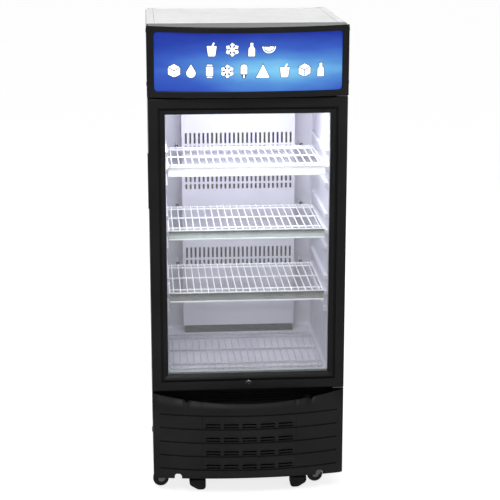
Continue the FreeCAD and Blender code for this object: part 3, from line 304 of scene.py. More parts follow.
BLACK = moulded("black_moulding", (24, 24, 25), (31, 31, 33), (0.3, 0.44), specular=0.3)
BLACK_ROUGH = moulded("black_grained", (26, 26, 27), (33, 33, 34), (0.4, 0.55), 1000, 0.0001,
                      0.35, 0.25)
BLACK_METAL = painted("black_paint", (16, 16, 17), (24, 24, 25), (0.4, 0.55), specular=0.4)
CASE = painted("case_paint", (212, 212, 215), (224, 224, 226), (0.32, 0.42))
COVER = metal("cover_metal", (32, 30, 29), (45, 43, 41), (0.45, 0.6), (1, 60, 1))
LINER = moulded("liner_plastic", (192, 190, 204), (206, 205, 217), (0.3, 0.42), 700, 0.00004, 0.15)
TRIM = moulded("trim_plastic", (176, 180, 182), (196, 200, 202), (0.32, 0.45))
COATED = moulded("wire_coating", (232, 232, 238), (243, 243, 247), (0.25, 0.38), 900, 0.00003, 0.2)
# The floor rack's coating: the white wire coating painted darker, painted shade.
RACK_SHADED = moulded("rack_coating_painted_shade", (168, 168, 180), (184, 184, 195), (0.3, 0.42), 900, 0.00003, 0.2)
CLIP = moulded("clip_plastic", (10, 10, 11), (18, 18, 19), (0.5, 0.65))
STEEL = metal("zinc_steel", (150, 150, 152), (188, 188, 190), (0.28, 0.45))
CHROME = metal("chrome_plate", (222, 222, 226), (238, 238, 241), (0.08, 0.18))
FINS = metal("fin_aluminium", (178, 180, 183), (206, 208, 210), (0.3, 0.45))
# Condenser fins: black paint, made darker still as painted shade seen through the grille's vents.
FINS_BLACK_SHADED = painted("fin_black_and_shade", (5, 5, 6), (11, 11, 12), (0.5, 0.65), specular=0.12)
COPPER = metal("copper_tube", (178, 112, 80), (206, 138, 102), (0.28, 0.42))
SPACER = metal("spacer_aluminium", (120, 123, 124), (148, 151, 152), (0.35, 0.5))
SEAL = rubber("seal_rubber", (30, 30, 32), (42, 42, 44))
GROMMET = rubber("grommet_rubber", (22, 22, 23), (32, 32, 33))
WHEEL = moulded("wheel_plastic", (18, 18, 19), (30, 30, 31), (0.45, 0.62), 700, 0.0001, 0.4)
FAN = moulded("fan_plastic", (36, 36, 38), (50, 50, 52), (0.4, 0.55))
CAN = painted("can_paint", (18, 18, 19), (28, 28, 29), (0.22, 0.36), coat=0.2)
PAN = moulded("pan_plastic", (196, 198, 198), (214, 216, 216), (0.45, 0.6))
FOAM = foamed("foam_fill")
# Painted shade: near-black sheets that stand for the shade in the gap under the air duct, inside the
# duct and behind the louvres.
GAP_SHADE = rubber("painted_shade_gap", (9, 18, 18), (16, 27, 26))
SHADE_BLACK = rubber("painted_shade_black", (3, 3, 4), (9, 9, 10))
GLASS = window_glass("window_glass")
SIGN = lit_sign("lit_sign")
ICON = glowing("icon_white", (244, 247, 252), (255, 255, 255), 1.0)
ICON_RIM = moulded("icon_rim", (30, 52, 92), (46, 70, 112), (0.4, 0.5))
LAMP = glowing("lamp_glow", (250, 250, 255), (255, 255, 255), 1.6)


# ---- making pieces

def show(thing):
    bpy.context.scene.collection.objects.link(thing)
    return thing


def add_piece(name, mesh, material, body, slot, nodes=(), sharp_degrees=32):
    """A mesh becomes a shown piece that rides on a body and may stand for CAD nodes."""
    mesh.materials.clear()
    mesh.materials.append(material)
    mesh.shade_smooth()
    mesh.set_sharp_from_angle(angle=math.radians(sharp_degrees))
    piece = show(bpy.data.objects.new(name, mesh))
    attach(piece, body)
    if nodes:
        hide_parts(*nodes)
    return piece


def raw_mesh(name, points, faces):
    mesh = bpy.data.meshes.new(name)
    mesh.from_pydata(points, [], faces)
    mesh.update()
    return mesh


def mesh_of(name, points, faces):
    """A mesh with its double points welded and its faces turned outwards."""
    mesh = raw_mesh(name, points, faces)
    work = bmesh.new()
    work.from_mesh(mesh)
    bmesh.ops.remove_doubles(work, verts=work.verts, dist=1e-6)
    bmesh.ops.recalc_face_normals(work, faces=work.faces)
    work.to_mesh(mesh)
    work.free()
    return mesh


def add_shape(name, shape, *settings):
    """A piece from (points, faces)."""
    return add_piece(name, mesh_of(name, *shape), *settings)


def rounded_edges(piece, width):
    bevel = piece.modifiers.new("rounded", "BEVEL")
    bevel.width = width
    bevel.segments = 2
    bevel.limit_method = "ANGLE"
    bevel.angle_limit = math.radians(32)
    bevel.use_clamp_overlap = True
    bevel.miter_outer = "MITER_ARC"


def thickened(piece, thickness, offset=-1):
    wall = piece.modifiers.new("wall", "SOLIDIFY")
    wall.thickness = thickness
    wall.offset = offset
    return wall


def refined(node, material, body, slot, width):
    """A welded copy of a CAD node with rounded edges, which stands for it."""
    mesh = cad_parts[node].data.copy()
    work = bmesh.new()
    work.from_mesh(mesh)
    bmesh.ops.remove_doubles(work, verts=work.verts, dist=2e-6)
    bmesh.ops.join_triangles(work, faces=work.faces, angle_face_threshold=math.radians(1),
                             angle_shape_threshold=math.radians(180))
    bmesh.ops.recalc_face_normals(work, faces=work.faces)
    plain = bpy.data.meshes.new(node + "_finish")
    work.to_mesh(plain)
    work.free()
    bpy.data.meshes.remove(mesh)
    piece = add_piece(node + "_finish", plain, material, body, slot, (node,))
    if width:
        rounded_edges(piece, width)


def quarter(steps):
    """Angles from 0 to 90 degrees in equal steps."""
    return [math.radians(90) * step / steps for step in range(steps + 1)]


def rounded(corners, steps=5):
    """Outline through (x, y, radius) corners, each rounded by an arc of its radius."""
    outline = []
    count = len(corners)
    for index, (x, y, radius) in enumerate(corners):
        here = Vector((x, y))
        if radius <= 0:
            outline.append(here)
            continue
        back = (Vector(corners[index - 1][:2]) - here).normalized()
        ahead = (Vector(corners[(index + 1) % count][:2]) - here).normalized()
        half = back.angle(ahead) / 2
        reach = radius / math.tan(half)
        centre = here + (back + ahead).normalized() * (radius / math.sin(half))
        start = here + back * reach - centre
        end = here + ahead * reach - centre
        sweep = math.atan2(start.x * end.y - start.y * end.x, start.dot(end))
        for step in range(steps + 1):
            outline.append(centre + Matrix.Rotation(sweep * step / steps, 2) @ start)
    return outline


def skin(rings, closed=True, caps=True):
    """Points and faces of a skin through rings of equally many points."""
    size = len(rings[0])
    points = [tuple(p) for ring in rings for p in ring]
    faces = []
    last = size if closed else size - 1
    for ring in range(len(rings) - 1):
        for index in range(last):
            after = (index + 1) % size
            faces.append((ring * size + index, ring * size + after,
                          (ring + 1) * size + after, (ring + 1) * size + index))
    if caps:
        faces.append(tuple(reversed(range(size))))
        faces.append(tuple(range((len(rings) - 1) * size, len(rings) * size)))
    return points, faces


def block(x, y, z):
    """Points and faces of a plain block between (low, high) pairs."""
    ring = [(x[0], y[0]), (x[1], y[0]), (x[1], y[1]), (x[0], y[1])]
    return skin([[(px, py, height) for px, py in ring] for height in z])


def merged(shapes):
    points, faces = [], []
    for more_points, more_faces in shapes:
        start = len(points)
        points += more_points
        faces += [tuple(start + index for index in face) for face in more_faces]
    return points, faces


def lathe(centre, axis, profile, segments, closed=False):
    """A shape turned about y or z: the profile is (radius, distance along the axis) pairs."""
    x, y, z = centre
    turns = [2 * math.pi * index / segments for index in range(segments)]
    rings = []
    for radius, along in profile:
        spots = [(radius * math.cos(turn), radius * math.sin(turn)) for turn in turns]
        rings.append([(x + u, y + along, z + v) if axis == "y" else (x + u, y + v, z + along)
                      for u, v in spots])
    if closed:
        rings.append(rings[0])
    return skin(rings, caps=not closed)


def wire_mesh(name, runs, radius, sides):
    """Round bars along runs of points; each run is (points, closed)."""
    curve = bpy.data.curves.new(name, "CURVE")
    curve.dimensions = "3D"
    curve.bevel_depth = radius
    curve.bevel_resolution = sides
    curve.use_fill_caps = True
    for points, closed in runs:
        spline = curve.splines.new("POLY")
        spline.points.add(len(points) - 1)
        for spot, point in zip(spline.points, points):
            spot.co = (*point, 1)
        spline.use_cyclic_u = closed
    holder = bpy.data.objects.new(name, curve)
    mesh = bpy.data.meshes.new_from_object(holder)
    bpy.data.objects.remove(holder)
    bpy.data.curves.remove(curve)
    return mesh


# ---- header

def header_y(x, z, inset=0.0, side=0.0):
    """The header's bowed front at a place, set back by inset."""
    half = HALF - side
    bow = BOW_LOW + (BOW_TOP - BOW_LOW) * (z - HEADER_LOW) / (TOP - HEADER_LOW)
    radius = (half * half + bow * bow) / (2 * bow)
    reach = min(abs(x), half)
    return FRONT + inset - bow + radius - math.sqrt(radius * radius - reach * reach)


def frame_loop(half, base, height, radius, straight=22, corner=7):
    """A rounded rectangle about x = 0, always with the same number of points."""
    corners = [(half, base), (half, base + height), (-half, base + height), (-half, base)]
    signs = [(-1, 1), (-1, -1), (1, -1), (1, 1)]
    spots = []
    for index, ((x, z), (sx, sz)) in enumerate(zip(corners, signs)):
        cx, cz = x + sx * radius, z + sz * radius
        first = math.radians(-90 + 90 * index)
        for angle in quarter(corner):
            turn = first + angle
            spots.append((cx + radius * math.cos(turn), cz + radius * math.sin(turn)))
        nx, nz = corners[(index + 1) % 4]
        nsx, nsz = signs[(index + 1) % 4]
        turn = first + math.radians(90)
        end = (nx + nsx * radius + radius * math.cos(turn), nz + nsz * radius + radius * math.sin(turn))
        start = spots[-1]
        for step in range(1, straight):
            spots.append(tuple(s + (e - s) * (step / straight) for s, e in zip(start, end)))
    return spots


def loop_between(outer, inner, share_at, deeper=0.0):
    """Points on the bowed front between two loops; share_at(length) is how far across they lie."""
    made = []
    for (ox, oz), (ix, iz) in zip(outer, inner):
        share = share_at(math.hypot(ix - ox, iz - oz))
        x, z = ox + (ix - ox) * share, oz + (iz - oz) * share
        made.append((x, header_y(x, z) + deeper, z))
    return made


def header_housing():
    """Black bowed housing with rounded edges inside and out, open at the back and top."""
    edge = 3.5 * MM
    lip = 2.2 * MM
    window_depth = 7 * MM
    deep_side = CELL_HIGH + 78 * MM
    outer = frame_loop(HALF, HEADER_LOW, TOP - HEADER_LOW, 0.6 * MM)
    inner = frame_loop(WINDOW_WIDTH / 2, HEADER_LOW + WINDOW_RISE, WINDOW_HEIGHT, WINDOW_RADIUS)
    back = []
    for x, z in outer:
        if z > TOP - 0.7 * MM:
            y = header_y(x, z) + HOUSING_WALL
        else:
            y = HEADER_BACK if z > deep_side else CASE_FRONT
        back.append((x, y, z))
    rings = [back]
    for angle in quarter(4):
        off = edge * (1 - math.cos(angle))
        rings.append(loop_between(outer, inner, lambda length: off / length,
                                  edge * (1 - math.sin(angle))))
    for share in (0.35, 0.7):
        rings.append(loop_between(outer, inner, lambda length: share))
    for angle in quarter(4):
        off = lip * (1 - math.sin(angle))
        rings.append(loop_between(outer, inner, lambda length: 1 - off / length,
                                  lip * (1 - math.cos(angle))))
    rings.append(loop_between(outer, inner, lambda length: 1, window_depth))
    piece = add_shape("header_housing", skin(rings, caps=False), BLACK, "case", "black_plastic",
                      ("header_frame",), 40)
    thickened(piece, 1.6 * MM)


def sign_y(x, z):
    """The sign panel's bowed face, behind the housing and a little narrower."""
    return header_y(x, z, HOUSING_WALL, 9 * MM)


def sign_face():
    """Printed panel behind the window, bent to the housing."""
    margin = 5 * MM
    columns, rows = 72, 24
    half = WINDOW_WIDTH / 2 + margin
    base = HEADER_LOW + WINDOW_RISE - margin
    height = WINDOW_HEIGHT + 2 * margin
    rings = []
    for row in range(rows + 1):
        z = base + height * row / rows
        across = [-half + 2 * half * column / columns for column in range(columns + 1)]
        rings.append([(x, sign_y(x, z), z) for x in across])
    piece = add_shape("sign_face", skin(rings, closed=False, caps=False), SIGN, "case", "sign",
                      ("sign_panel",))
    thickened(piece, 2.5 * MM, 1 if piece.data.polygons[0].normal.y > 0 else -1)


def arc(x, y, radius, count, start, sweep):
    spots = []
    for index in range(count):
        turn = math.radians(start + sweep * index / (count - 1))
        spots.append((x + radius * math.cos(turn), y + radius * math.sin(turn)))
    return spots


def turned(outline, degrees):
    cosine, sine = math.cos(math.radians(degrees)), math.sin(math.radians(degrees))
    return [(x * cosine - y * sine, x * sine + y * cosine) for x, y in outline]


def bar(x0, y0, x1, y1, width):
    along = Vector((x1 - x0, y1 - y0)).normalized() * width / 2
    side = Vector((-along.y, along.x))
    return [(x0 + side.x, y0 + side.y), (x0 - side.x, y0 - side.y), (x1 - side.x, y1 - side.y),
            (x1 + side.x, y1 + side.y)]


def snowflake():
    shapes = [turned(bar(-0.5, 0, 0.5, 0, 0.12), 30 + 60 * arm) for arm in range(3)]
    for arm in range(6):
        for lean in (-50, 50):
            twig = turned(bar(0, 0, 0.17, 0, 0.1), lean)
            shapes.append(turned([(x + 0.28, y) for x, y in twig], 30 + 60 * arm))
    return shapes


def tumbler():
    cup = [(-0.36, 0.26, 0.05), (0.36, 0.26, 0.05), (0.25, -0.5, 0.07), (-0.25, -0.5, 0.07)]
    return [rounded(cup, 4), bar(0.02, 0.2, 0.16, 0.5, 0.09)]


def bottle():
    right = [(0.1, 0.5), (0.1, 0.24), (0.22, 0.1), (0.24, -0.02), (0.24, -0.5)]
    return [[(-x, y) for x, y in reversed(right)] + right]


def droplet():
    return [[(0.0, 0.5)] + arc(0, -0.16, 0.34, 20, 33, -246)]


def ice_cube():
    gap = 0.03
    return [
        [(0, 0.5), (0.42, 0.27), (0, 0.05), (-0.42, 0.27)],
        [(-0.44, 0.22), (-gap, 0.0), (-gap, -0.48), (-0.44, -0.26)],
        [(0.44, 0.22), (0.44, -0.26), (gap, -0.48), (gap, 0.0)],
    ]


def citrus():
    wedge = arc(0, 0.1, 0.36, 10, 184, 52) + [(-0.01, 0.06)]
    shapes = [turned([(x, y - 0.1) for x, y in wedge], 60 * index) for index in range(3)]
    rind = arc(0, 0, 0.5, 24, 180, 180) + list(reversed(arc(0, 0, 0.42, 24, 180, 180)))
    return [[(x, y + 0.22) for x, y in shape] for shape in shapes + [rind]]


def ice_lolly():
    body = [(-0.24, 0.5, 0.2), (0.24, 0.5, 0.2), (0.24, -0.22, 0.05), (-0.24, -0.22, 0.05)]
    return [rounded(body, 6), bar(0, -0.28, 0, -0.5, 0.12)]


def peak():
    return [[(0.0, 0.5), (0.5, -0.5), (-0.5, -0.5)]]


def drinks_can():
    body = [(-0.26, 0.34, 0.06), (0.26, 0.34, 0.06), (0.26, -0.34, 0.06), (-0.26, -0.34, 0.06)]
    return [rounded(body, 4), bar(-0.2, 0.45, 0.2, 0.45, 0.09), bar(-0.2, -0.45, 0.2, -0.45, 0.09)]


def sign_icon_mesh(name, places, grow, puff, lift):
    """Drawn shapes laid on the sign; each place is (shapes, x, z, size)."""
    meshes = []
    for shapes, x, z, size in places:
        curve = bpy.data.curves.new(name, "CURVE")
        curve.dimensions = "2D"
        curve.fill_mode = "BOTH"
        curve.offset = grow - puff
        curve.extrude = 0.15 * MM
        curve.bevel_depth = puff
        curve.bevel_resolution = 3
        for outline in shapes:
            spline = curve.splines.new("POLY")
            spline.points.add(len(outline) - 1)
            for spot, (px, py) in zip(spline.points, outline):
                spot.co = (px * size, py * size, 0, 1)
            spline.use_cyclic_u = True
        holder = bpy.data.objects.new(name, curve)
        mesh = bpy.data.meshes.new_from_object(holder)
        bpy.data.objects.remove(holder)
        points = []
        for vertex in mesh.vertices:
            px, pz = x + vertex.co.x, z + vertex.co.y
            points.append((px, sign_y(px, pz) - lift - vertex.co.z, pz))
        meshes.append((points, [tuple(face.vertices) for face in mesh.polygons]))
        bpy.data.meshes.remove(mesh)
    return mesh_of(name, *merged(meshes))


def sign_icons():
    """Generic drawn shapes of cold things in two rows."""
    upper = [tumbler, snowflake, bottle, citrus]
    lower = [ice_cube, droplet, drinks_can, snowflake, ice_lolly, peak, tumbler, ice_cube, bottle]
    upper_spots = (-111, -51, 6, 57)
    lower_spots = (-221, -171.5, -117, -65, -16, 40, 105, 164.5, 214)
    upper_z, lower_z = 1.411, 1.346
    size = 40 * MM
    places = []
    for row, spots, z in ((upper, upper_spots, upper_z), (lower, lower_spots, lower_z)):
        for shapes, x in zip(row, spots):
            places.append((shapes(), x * MM, z, size))
    rims = sign_icon_mesh("sign_icon_rims", places, 1.7 * MM, 0.0, 0.05 * MM)
    add_piece("sign_icon_rims", rims, ICON_RIM, "case", "sign")
    shapes = sign_icon_mesh("sign_icons", places, 0.0, 0.5 * MM, 0.5 * MM)
    add_piece("sign_icons", shapes, ICON, "case", "sign")


# ---- door

BAND = 29 * MM
GROOVE_WIDTH = 7 * MM
GROOVE_DEPTH = 9 * MM
RAIL = 50 * MM
BEVEL_DEPTH = 11 * MM
CHANNEL = 13 * MM
CHANNEL_WIDTH = 17 * MM
DOOR_THICKNESS = DOOR_BACK - FRONT


def door_profile(pocket=0.0):
    """The frame's section as (across from the outer edge, depth), with a pocket for the pull."""
    corners = [
        (0, 0, 3.5 * MM),
        (BAND, 0, 0.8 * MM),
        (BAND, GROOVE_DEPTH, 0.4 * MM),
        (BAND + GROOVE_WIDTH, GROOVE_DEPTH, 0.4 * MM),
        (BAND + GROOVE_WIDTH, 1 * MM, 0.8 * MM),
        (RAIL, BEVEL_DEPTH, 1.2 * MM),
        (RAIL, CHANNEL, 0.3 * MM),
        (RAIL - 10 * MM, CHANNEL, 0),
        (RAIL - 10 * MM, CHANNEL + CHANNEL_WIDTH, 0),
        (RAIL, CHANNEL + CHANNEL_WIDTH, 0.5 * MM),
        (RAIL, DOOR_THICKNESS, 1.5 * MM),
        (0, DOOR_THICKNESS, 2.5 * MM),
    ]
    if pocket:
        grip_low, grip_high = low("door_grip").y - FRONT, high("door_grip").y - FRONT
        soft = 0.3 * MM
        corners += [(0, grip_high, soft), (pocket, grip_high, soft), (pocket, grip_low, soft),
                    (0, grip_low, soft)]
    return rounded(corners, 4)


def door_member(name, place, ends, nodes):
    """One mitred member: place(across, depth, along) and ends(across) -> (first, last)."""
    profile = door_profile()
    rings = [[place(p.x, p.y, ends(p.x)[which]) for p in profile] for which in (0, 1)]
    add_shape(name, skin(rings), BLACK, "door", "black_plastic", nodes)


def door_frame():
    for name, base, way in (("bottom", DOOR_LOW, 1), ("top", DOOR_TOP, -1)):
        door_member(f"door_{name}_moulding", lambda u, v, x: (x, FRONT + v, base + way * u),
                    lambda u: (-HALF + u, HALF - u), (f"door_rail_{name}",))
    door_member("door_right_moulding", lambda u, v, z: (HALF - u, FRONT + v, z),
                lambda u: (DOOR_LOW + u, DOOR_TOP - u), ("door_stile_right",))
    left_stile()


def left_stile():
    """The left member in three lengths: the middle one has the pocket of the pull."""
    grip_low, grip_high = low("door_grip").z, high("door_grip").z
    depth = high("door_grip").x + HALF
    lengths = (
        (door_profile(), lambda u: DOOR_LOW + u, lambda u: grip_low),
        (door_profile(depth), lambda u: grip_low, lambda u: grip_high),
        (door_profile(), lambda u: grip_high, lambda u: DOOR_TOP - u),
    )
    shapes = []
    for profile, first, last in lengths:
        rings = [[(-HALF + p.x, FRONT + p.y, end(p.x)) for p in profile] for end in (first, last)]
        shapes.append(skin(rings))
    mesh = raw_mesh("door_left_moulding", *merged(shapes))
    add_piece("door_left_moulding", mesh, BLACK, "door", "black_plastic", ("door_stile_left",))


def pull():
    """Pull with rounded ends and a finger hollow open to the side."""
    a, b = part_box("door_grip")
    end, wall, lip = 6 * MM, 4 * MM, 7 * MM
    full = [(a.x, a.y, 3 * MM), (b.x, a.y, 0.3 * MM), (b.x, b.y, 0.3 * MM), (a.x, b.y, 3 * MM)]
    hollow = [(a.x, b.y - wall, 1 * MM), (b.x - wall, b.y - wall, 3 * MM),
              (b.x - wall, a.y + lip, 3 * MM), (a.x, a.y + lip, 1 * MM)]
    shapes = []
    for corners, first, last in ((full + hollow, a.z + end, b.z - end), (full, a.z, a.z + end),
                                 (full, b.z - end, b.z)):
        outline = rounded(corners, 4)
        shapes.append(skin([[(p.x, p.y, z) for p in outline] for z in (first, last)]))
    piece = add_shape("door_pull", merged(shapes), BLACK, "door", "black_plastic", ("door_grip",))
    rounded_edges(piece, 0.6 * MM)


def gasket():
    """Magnetic seal with a folded bellows and a flat magnet face."""
    a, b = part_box("door_gasket")
    depth = b.y - a.y
    width = 18 * MM
    fold = 0.8 * MM
    corners = [(0, 0, 0), (width, 0, 0), (width, 0.25 * depth, fold), (0.8 * width, 0.45 * depth, fold),
               (width, 0.62 * depth, fold), (width, depth, 1.2 * MM), (0, depth, 1.2 * MM),
               (0, 0.62 * depth, fold), (0.2 * width, 0.45 * depth, fold), (0, 0.25 * depth, fold)]
    profile = rounded(corners, 3)
    corner_signs = [(1, 1), (-1, 1), (-1, -1), (1, -1)]
    spots = [(a.x, a.z), (b.x, a.z), (b.x, b.z), (a.x, b.z)]
    rings = []
    for (x, z), (sx, sz) in zip(spots, corner_signs):
        rings.append([(x + sx * p.x, a.y + p.y, z + sz * p.x) for p in profile])
    rings.append(rings[0])
    add_shape("door_seal", skin(rings, caps=False), SEAL, "door", "seal", ("door_gasket",))


def crescent(centre, inner, outer, thick):
    """A rounded bar bent over the top of a circle and tapering to its ends."""
    reach, steps = 105, 28
    rings = []
    for step in range(steps + 1):
        share = 2 * step / steps - 1
        turn = math.radians(reach * share)
        taper = max(0.12, math.cos(math.radians(90) * share))
        half = (outer - inner) / 2 * taper
        ring = []
        for around in range(0, 360, 30):
            reach_out = outer - half + half * math.cos(math.radians(around))
            ring.append((centre[0] + reach_out * math.sin(turn),
                         centre[1] + thick * (0.5 - 0.5 * taper * math.sin(math.radians(around))),
                         centre[2] + reach_out * math.cos(turn)))
        rings.append(ring)
    return skin(rings)


def lock():
    """Cylinder with a dark face, a painted dark reflection, under a chrome crescent that stands for its
    highlight; a chrome block in the key slot as a painted glint; and its cam behind the door.
    """
    a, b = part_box("lock_cylinder")
    radius = 8.5 * MM
    cam_half, cam_reach, cam_thick = 4 * MM, 28 * MM, 2.5 * MM
    key_half, key_low, key_high = 1.1 * MM, 4 * MM, 1 * MM
    centre = (0.0, a.y, a.z + radius)
    bezel = lathe(centre, "y", [(4.4 * MM, 2.4 * MM), (5.6 * MM, 1.9 * MM), (7.5 * MM, 1.9 * MM),
                                (radius, 2.6 * MM), (radius, 6 * MM)], 56)
    cam = block((-cam_half, cam_reach), (b.y - cam_thick, b.y),
                (centre[2] - cam_half, centre[2] + cam_half))
    neck = lathe(centre, "y", [(4 * MM, 4 * MM), (4 * MM, b.y - a.y)], 32)
    # Painted dark reflection: the bezel is in the black clip plastic where the real ring is chrome.
    piece = add_shape("lock_barrel", merged([bezel, cam, neck]), CLIP, "lock", "chrome",
                      ("lock_cylinder",))
    rounded_edges(piece, 0.2 * MM)
    # The plug is dark too: painted dark reflection.
    plug = [(0.0, 0.9 * MM), (2.8 * MM, 1.0 * MM), (4.2 * MM, 1.7 * MM), (4.3 * MM, 5 * MM)]
    # Painted highlight: chrome left only as a crescent over the top, where the ring catches the light.
    lit_crescent = crescent(centre, 3.6 * MM, radius, 3.4 * MM)
    add_shape("lock_lit_crescent", lit_crescent, CHROME, "lock", "chrome")
    add_shape("lock_plug", lathe(centre, "y", plug, 40), CLIP, "lock", "chrome")
    # Painted glint: a chrome block in the key slot.
    key = block((-key_half, key_half), (a.y + 0.3 * MM, a.y + 1.6 * MM),
                (centre[2] - key_low, centre[2] - key_high))
    add_shape("lock_keyway_glint", key, CHROME, "lock", "chrome")


# ---- cell

def cell_loop(y, inset=0.0):
    """The cell's rounded outline at a depth, drawn in by inset."""
    spots = frame_loop(CELL_HALF - inset, CELL_LOW + inset, CELL_HIGH - CELL_LOW - 2 * inset,
                       CELL_RADIUS, 6, 6)
    return [(x, y, z) for x, z in spots]


def tank():
    """White liner with rounded corners, open at the front."""
    radius = CELL_RADIUS
    rings = [cell_loop(low("inner_liner").y)]
    for angle in quarter(5):
        rings.append(cell_loop(CELL_BACK - radius * (1 - math.sin(angle)),
                               0.8 * radius * (1 - math.cos(angle))))
    points, faces = skin(rings, caps=False)
    last = len(rings[0]) * (len(rings) - 1)
    faces.append(tuple(range(last, last + len(rings[0]))))
    add_shape("liner_tank", (points, faces), LINER, "case", "liner", ("inner_liner",))


def mouth_frame():
    """Grey collar round the mouth, with rounded corners inside and a rolled front edge."""
    a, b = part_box("breaker_frame")
    outer = frame_loop(b.x, a.z, b.z - a.z, 1 * MM, 6, 6)
    rings = [[(x, a.y, z) for x, z in outer], cell_loop(a.y), cell_loop(b.y + 0.5 * MM),
             [(x, b.y, z) for x, z in outer]]
    rings.append(rings[0])
    piece = add_shape("mouth_frame", skin(rings, caps=False), TRIM, "case", "trim_grey",
                      ("breaker_frame",))
    rounded_edges(piece, 0.5 * MM)


SHELVES = ("shelf_top", "shelf_middle", "shelf_bottom")
WIRE = 1.8 * MM
RIM = 2.8 * MM
WIRES = 22
WIRE_PITCH = 21.75 * MM


def bent_end(y, z):
    """Points of a wire that turns down over the front rim."""
    radius, down = 4 * MM, 8 * MM
    spots = [(y + radius - radius * math.sin(angle), z - radius + radius * math.cos(angle))
             for angle in quarter(4)]
    return spots + [(y, z - down)]


def wire_shelf(node):
    """Rim bent from one wire, cross wires and the front-to-back wires that turn down at the front."""
    a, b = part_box(node)
    top = b.z
    half = b.x - RIM
    rim_z = top - 2 * WIRE - RIM + 0.8 * MM
    front, back = a.y + RIM, b.y - RIM
    radius = 10 * MM
    outline = rounded([(-half, front, radius), (half, front, radius), (half, back, radius),
                       (-half, back, radius)], 6)
    rim = [([(p.x, p.y, rim_z) for p in outline], True)]
    length = back - front
    for share in (0.13, 0.53, 0.9):
        y = front + share * length
        rim.append(([(-half, y, rim_z), (half, y, rim_z)], False))
    runs = []
    for index in range(WIRES):
        x = (index - (WIRES - 1) / 2) * WIRE_PITCH
        spots = [(x, back + 1 * MM, top - WIRE)]
        spots += [(x, y, z) for y, z in bent_end(front - RIM - 0.6 * MM, top - WIRE)]
        runs.append((spots, False))
    # The floor rack low in the cell takes the darker copy of the coating: painted shade.
    coat = RACK_SHADED if node == "floor_rack" else COATED
    for name, bars, thick, sides, nodes in ((node + "_rim", rim, RIM, 4, (node,)),
                                            (node + "_wires", runs, WIRE, 3, ())):
        mesh = wire_mesh(name, bars, thick, sides)
        add_piece(name, mesh, coat, "case", "wire_white", nodes, 60)


def shelf_hooks():
    """Black noses that catch the shelves' back wires, on pale stems from the back wall."""
    reach, half, tall = 9 * MM, 5 * MM, 13 * MM
    stem_half, stem_low, stem_high = 1.5 * MM, 1 * MM, 4 * MM
    aside = high("duct_panel").x + 18 * MM
    noses, stems = [], []
    for shelf in SHELVES:
        base = high(shelf).z - 2 * (WIRE + RIM)
        front = high(shelf).y + 0.3 * MM
        for middle in (-aside, aside):
            noses.append(block((middle - half, middle + half), (front, front + reach),
                               (base, base + tall)))
            stems.append(block((middle - stem_half, middle + stem_half), (front + reach, CELL_BACK),
                               (base + stem_low, base + stem_high)))
    piece = add_shape("shelf_hooks", merged(noses), CLIP, "case", "clip_black", ("shelf_clips",))
    rounded_edges(piece, 1.2 * MM)
    add_shape("shelf_hook_stems", merged(stems), LINER, "case", "liner")


def label_strips():
    """Label holders: a leaning back, a hook over the front wire and a lip along the foot."""
    a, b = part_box("price_strips")
    height = 27 * MM
    # Painted shade: one strip plastic, painted palest on the top shelf and darker on each lower shelf.
    painted_shade_tones = (((196, 194, 204), (255, 255, 255)), ((44, 50, 48), (172, 180, 182)),
             ((24, 28, 26), (112, 116, 118)))
    y = a.y + 7 * MM
    for shelf, (dark, light) in zip(SHELVES, painted_shade_tones):
        top = high(shelf).z - 3 * MM
        foot_z = top - height
        profile = rounded([
            (y, top + 3 * MM, 0.5 * MM), (y - 3 * MM, top + 3 * MM, 1.2 * MM),
            (y - 2 * MM, top - 1 * MM, 0), (y - 1.6 * MM, top - 1 * MM, 0),
            (y - 6.2 * MM, foot_z + 3.5 * MM, 0.5 * MM), (y - 7.4 * MM, foot_z + 3.2 * MM, 0.6 * MM),
            (y - 7 * MM, foot_z - 1 * MM, 1 * MM), (y - 4.6 * MM, foot_z - 0.6 * MM, 0.8 * MM),
        ], 3)
        rings = [[(x, p.x, p.y) for p in profile] for x in (a.x, b.x)]
        finish = label_strip(shelf + "_strip_painted_shade", foot_z - 1 * MM, height + 4 * MM, dark, light)
        nodes = ("price_strips",) if shelf == SHELVES[0] else ()
        add_shape(shelf + "_label_strip", skin(rings), finish, "case", "trim_grey", nodes)


# ---- running gear

def wheel(corner):
    """Caster wheel: rounded tread with two grooves, a dished hub and a bore for the axle."""
    node = "caster_wheel_" + corner
    a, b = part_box(node)
    centre = ((a.x + b.x) / 2, a.y, (a.z + b.z) / 2)
    radius = (b.z - a.z) / 2
    width = b.y - a.y
    profile = [(4.1 * MM, 3 * MM), (9 * MM, 3.4 * MM), (11 * MM, 1.2 * MM), (16 * MM, 1.2 * MM),
               (17.5 * MM, 0.2 * MM), (21 * MM, 0.0), (24 * MM, 1.4 * MM), (radius, 4.2 * MM)]
    groove = 24.2 * MM
    tread = [(radius, 0.36 * width), (groove, 0.38 * width), (groove, 0.42 * width),
             (radius, 0.44 * width)]
    mirror = [(r, width - y) for r, y in reversed(profile + tread)]
    shape = lathe(centre, "y", profile + tread + mirror + [profile[0]], 56, closed=True)
    add_shape(f"wheel_{corner}_tyre", shape, WHEEL, "wheel_" + corner, "wheel", (node,), 28)


def running_gear():
    for corner in ("front_left", "front_right", "rear_left", "rear_right"):
        wheel(corner)
        refined("caster_fork_" + corner, STEEL, "fork_" + corner, "steel", 0.6 * MM)


# ---- lower grille

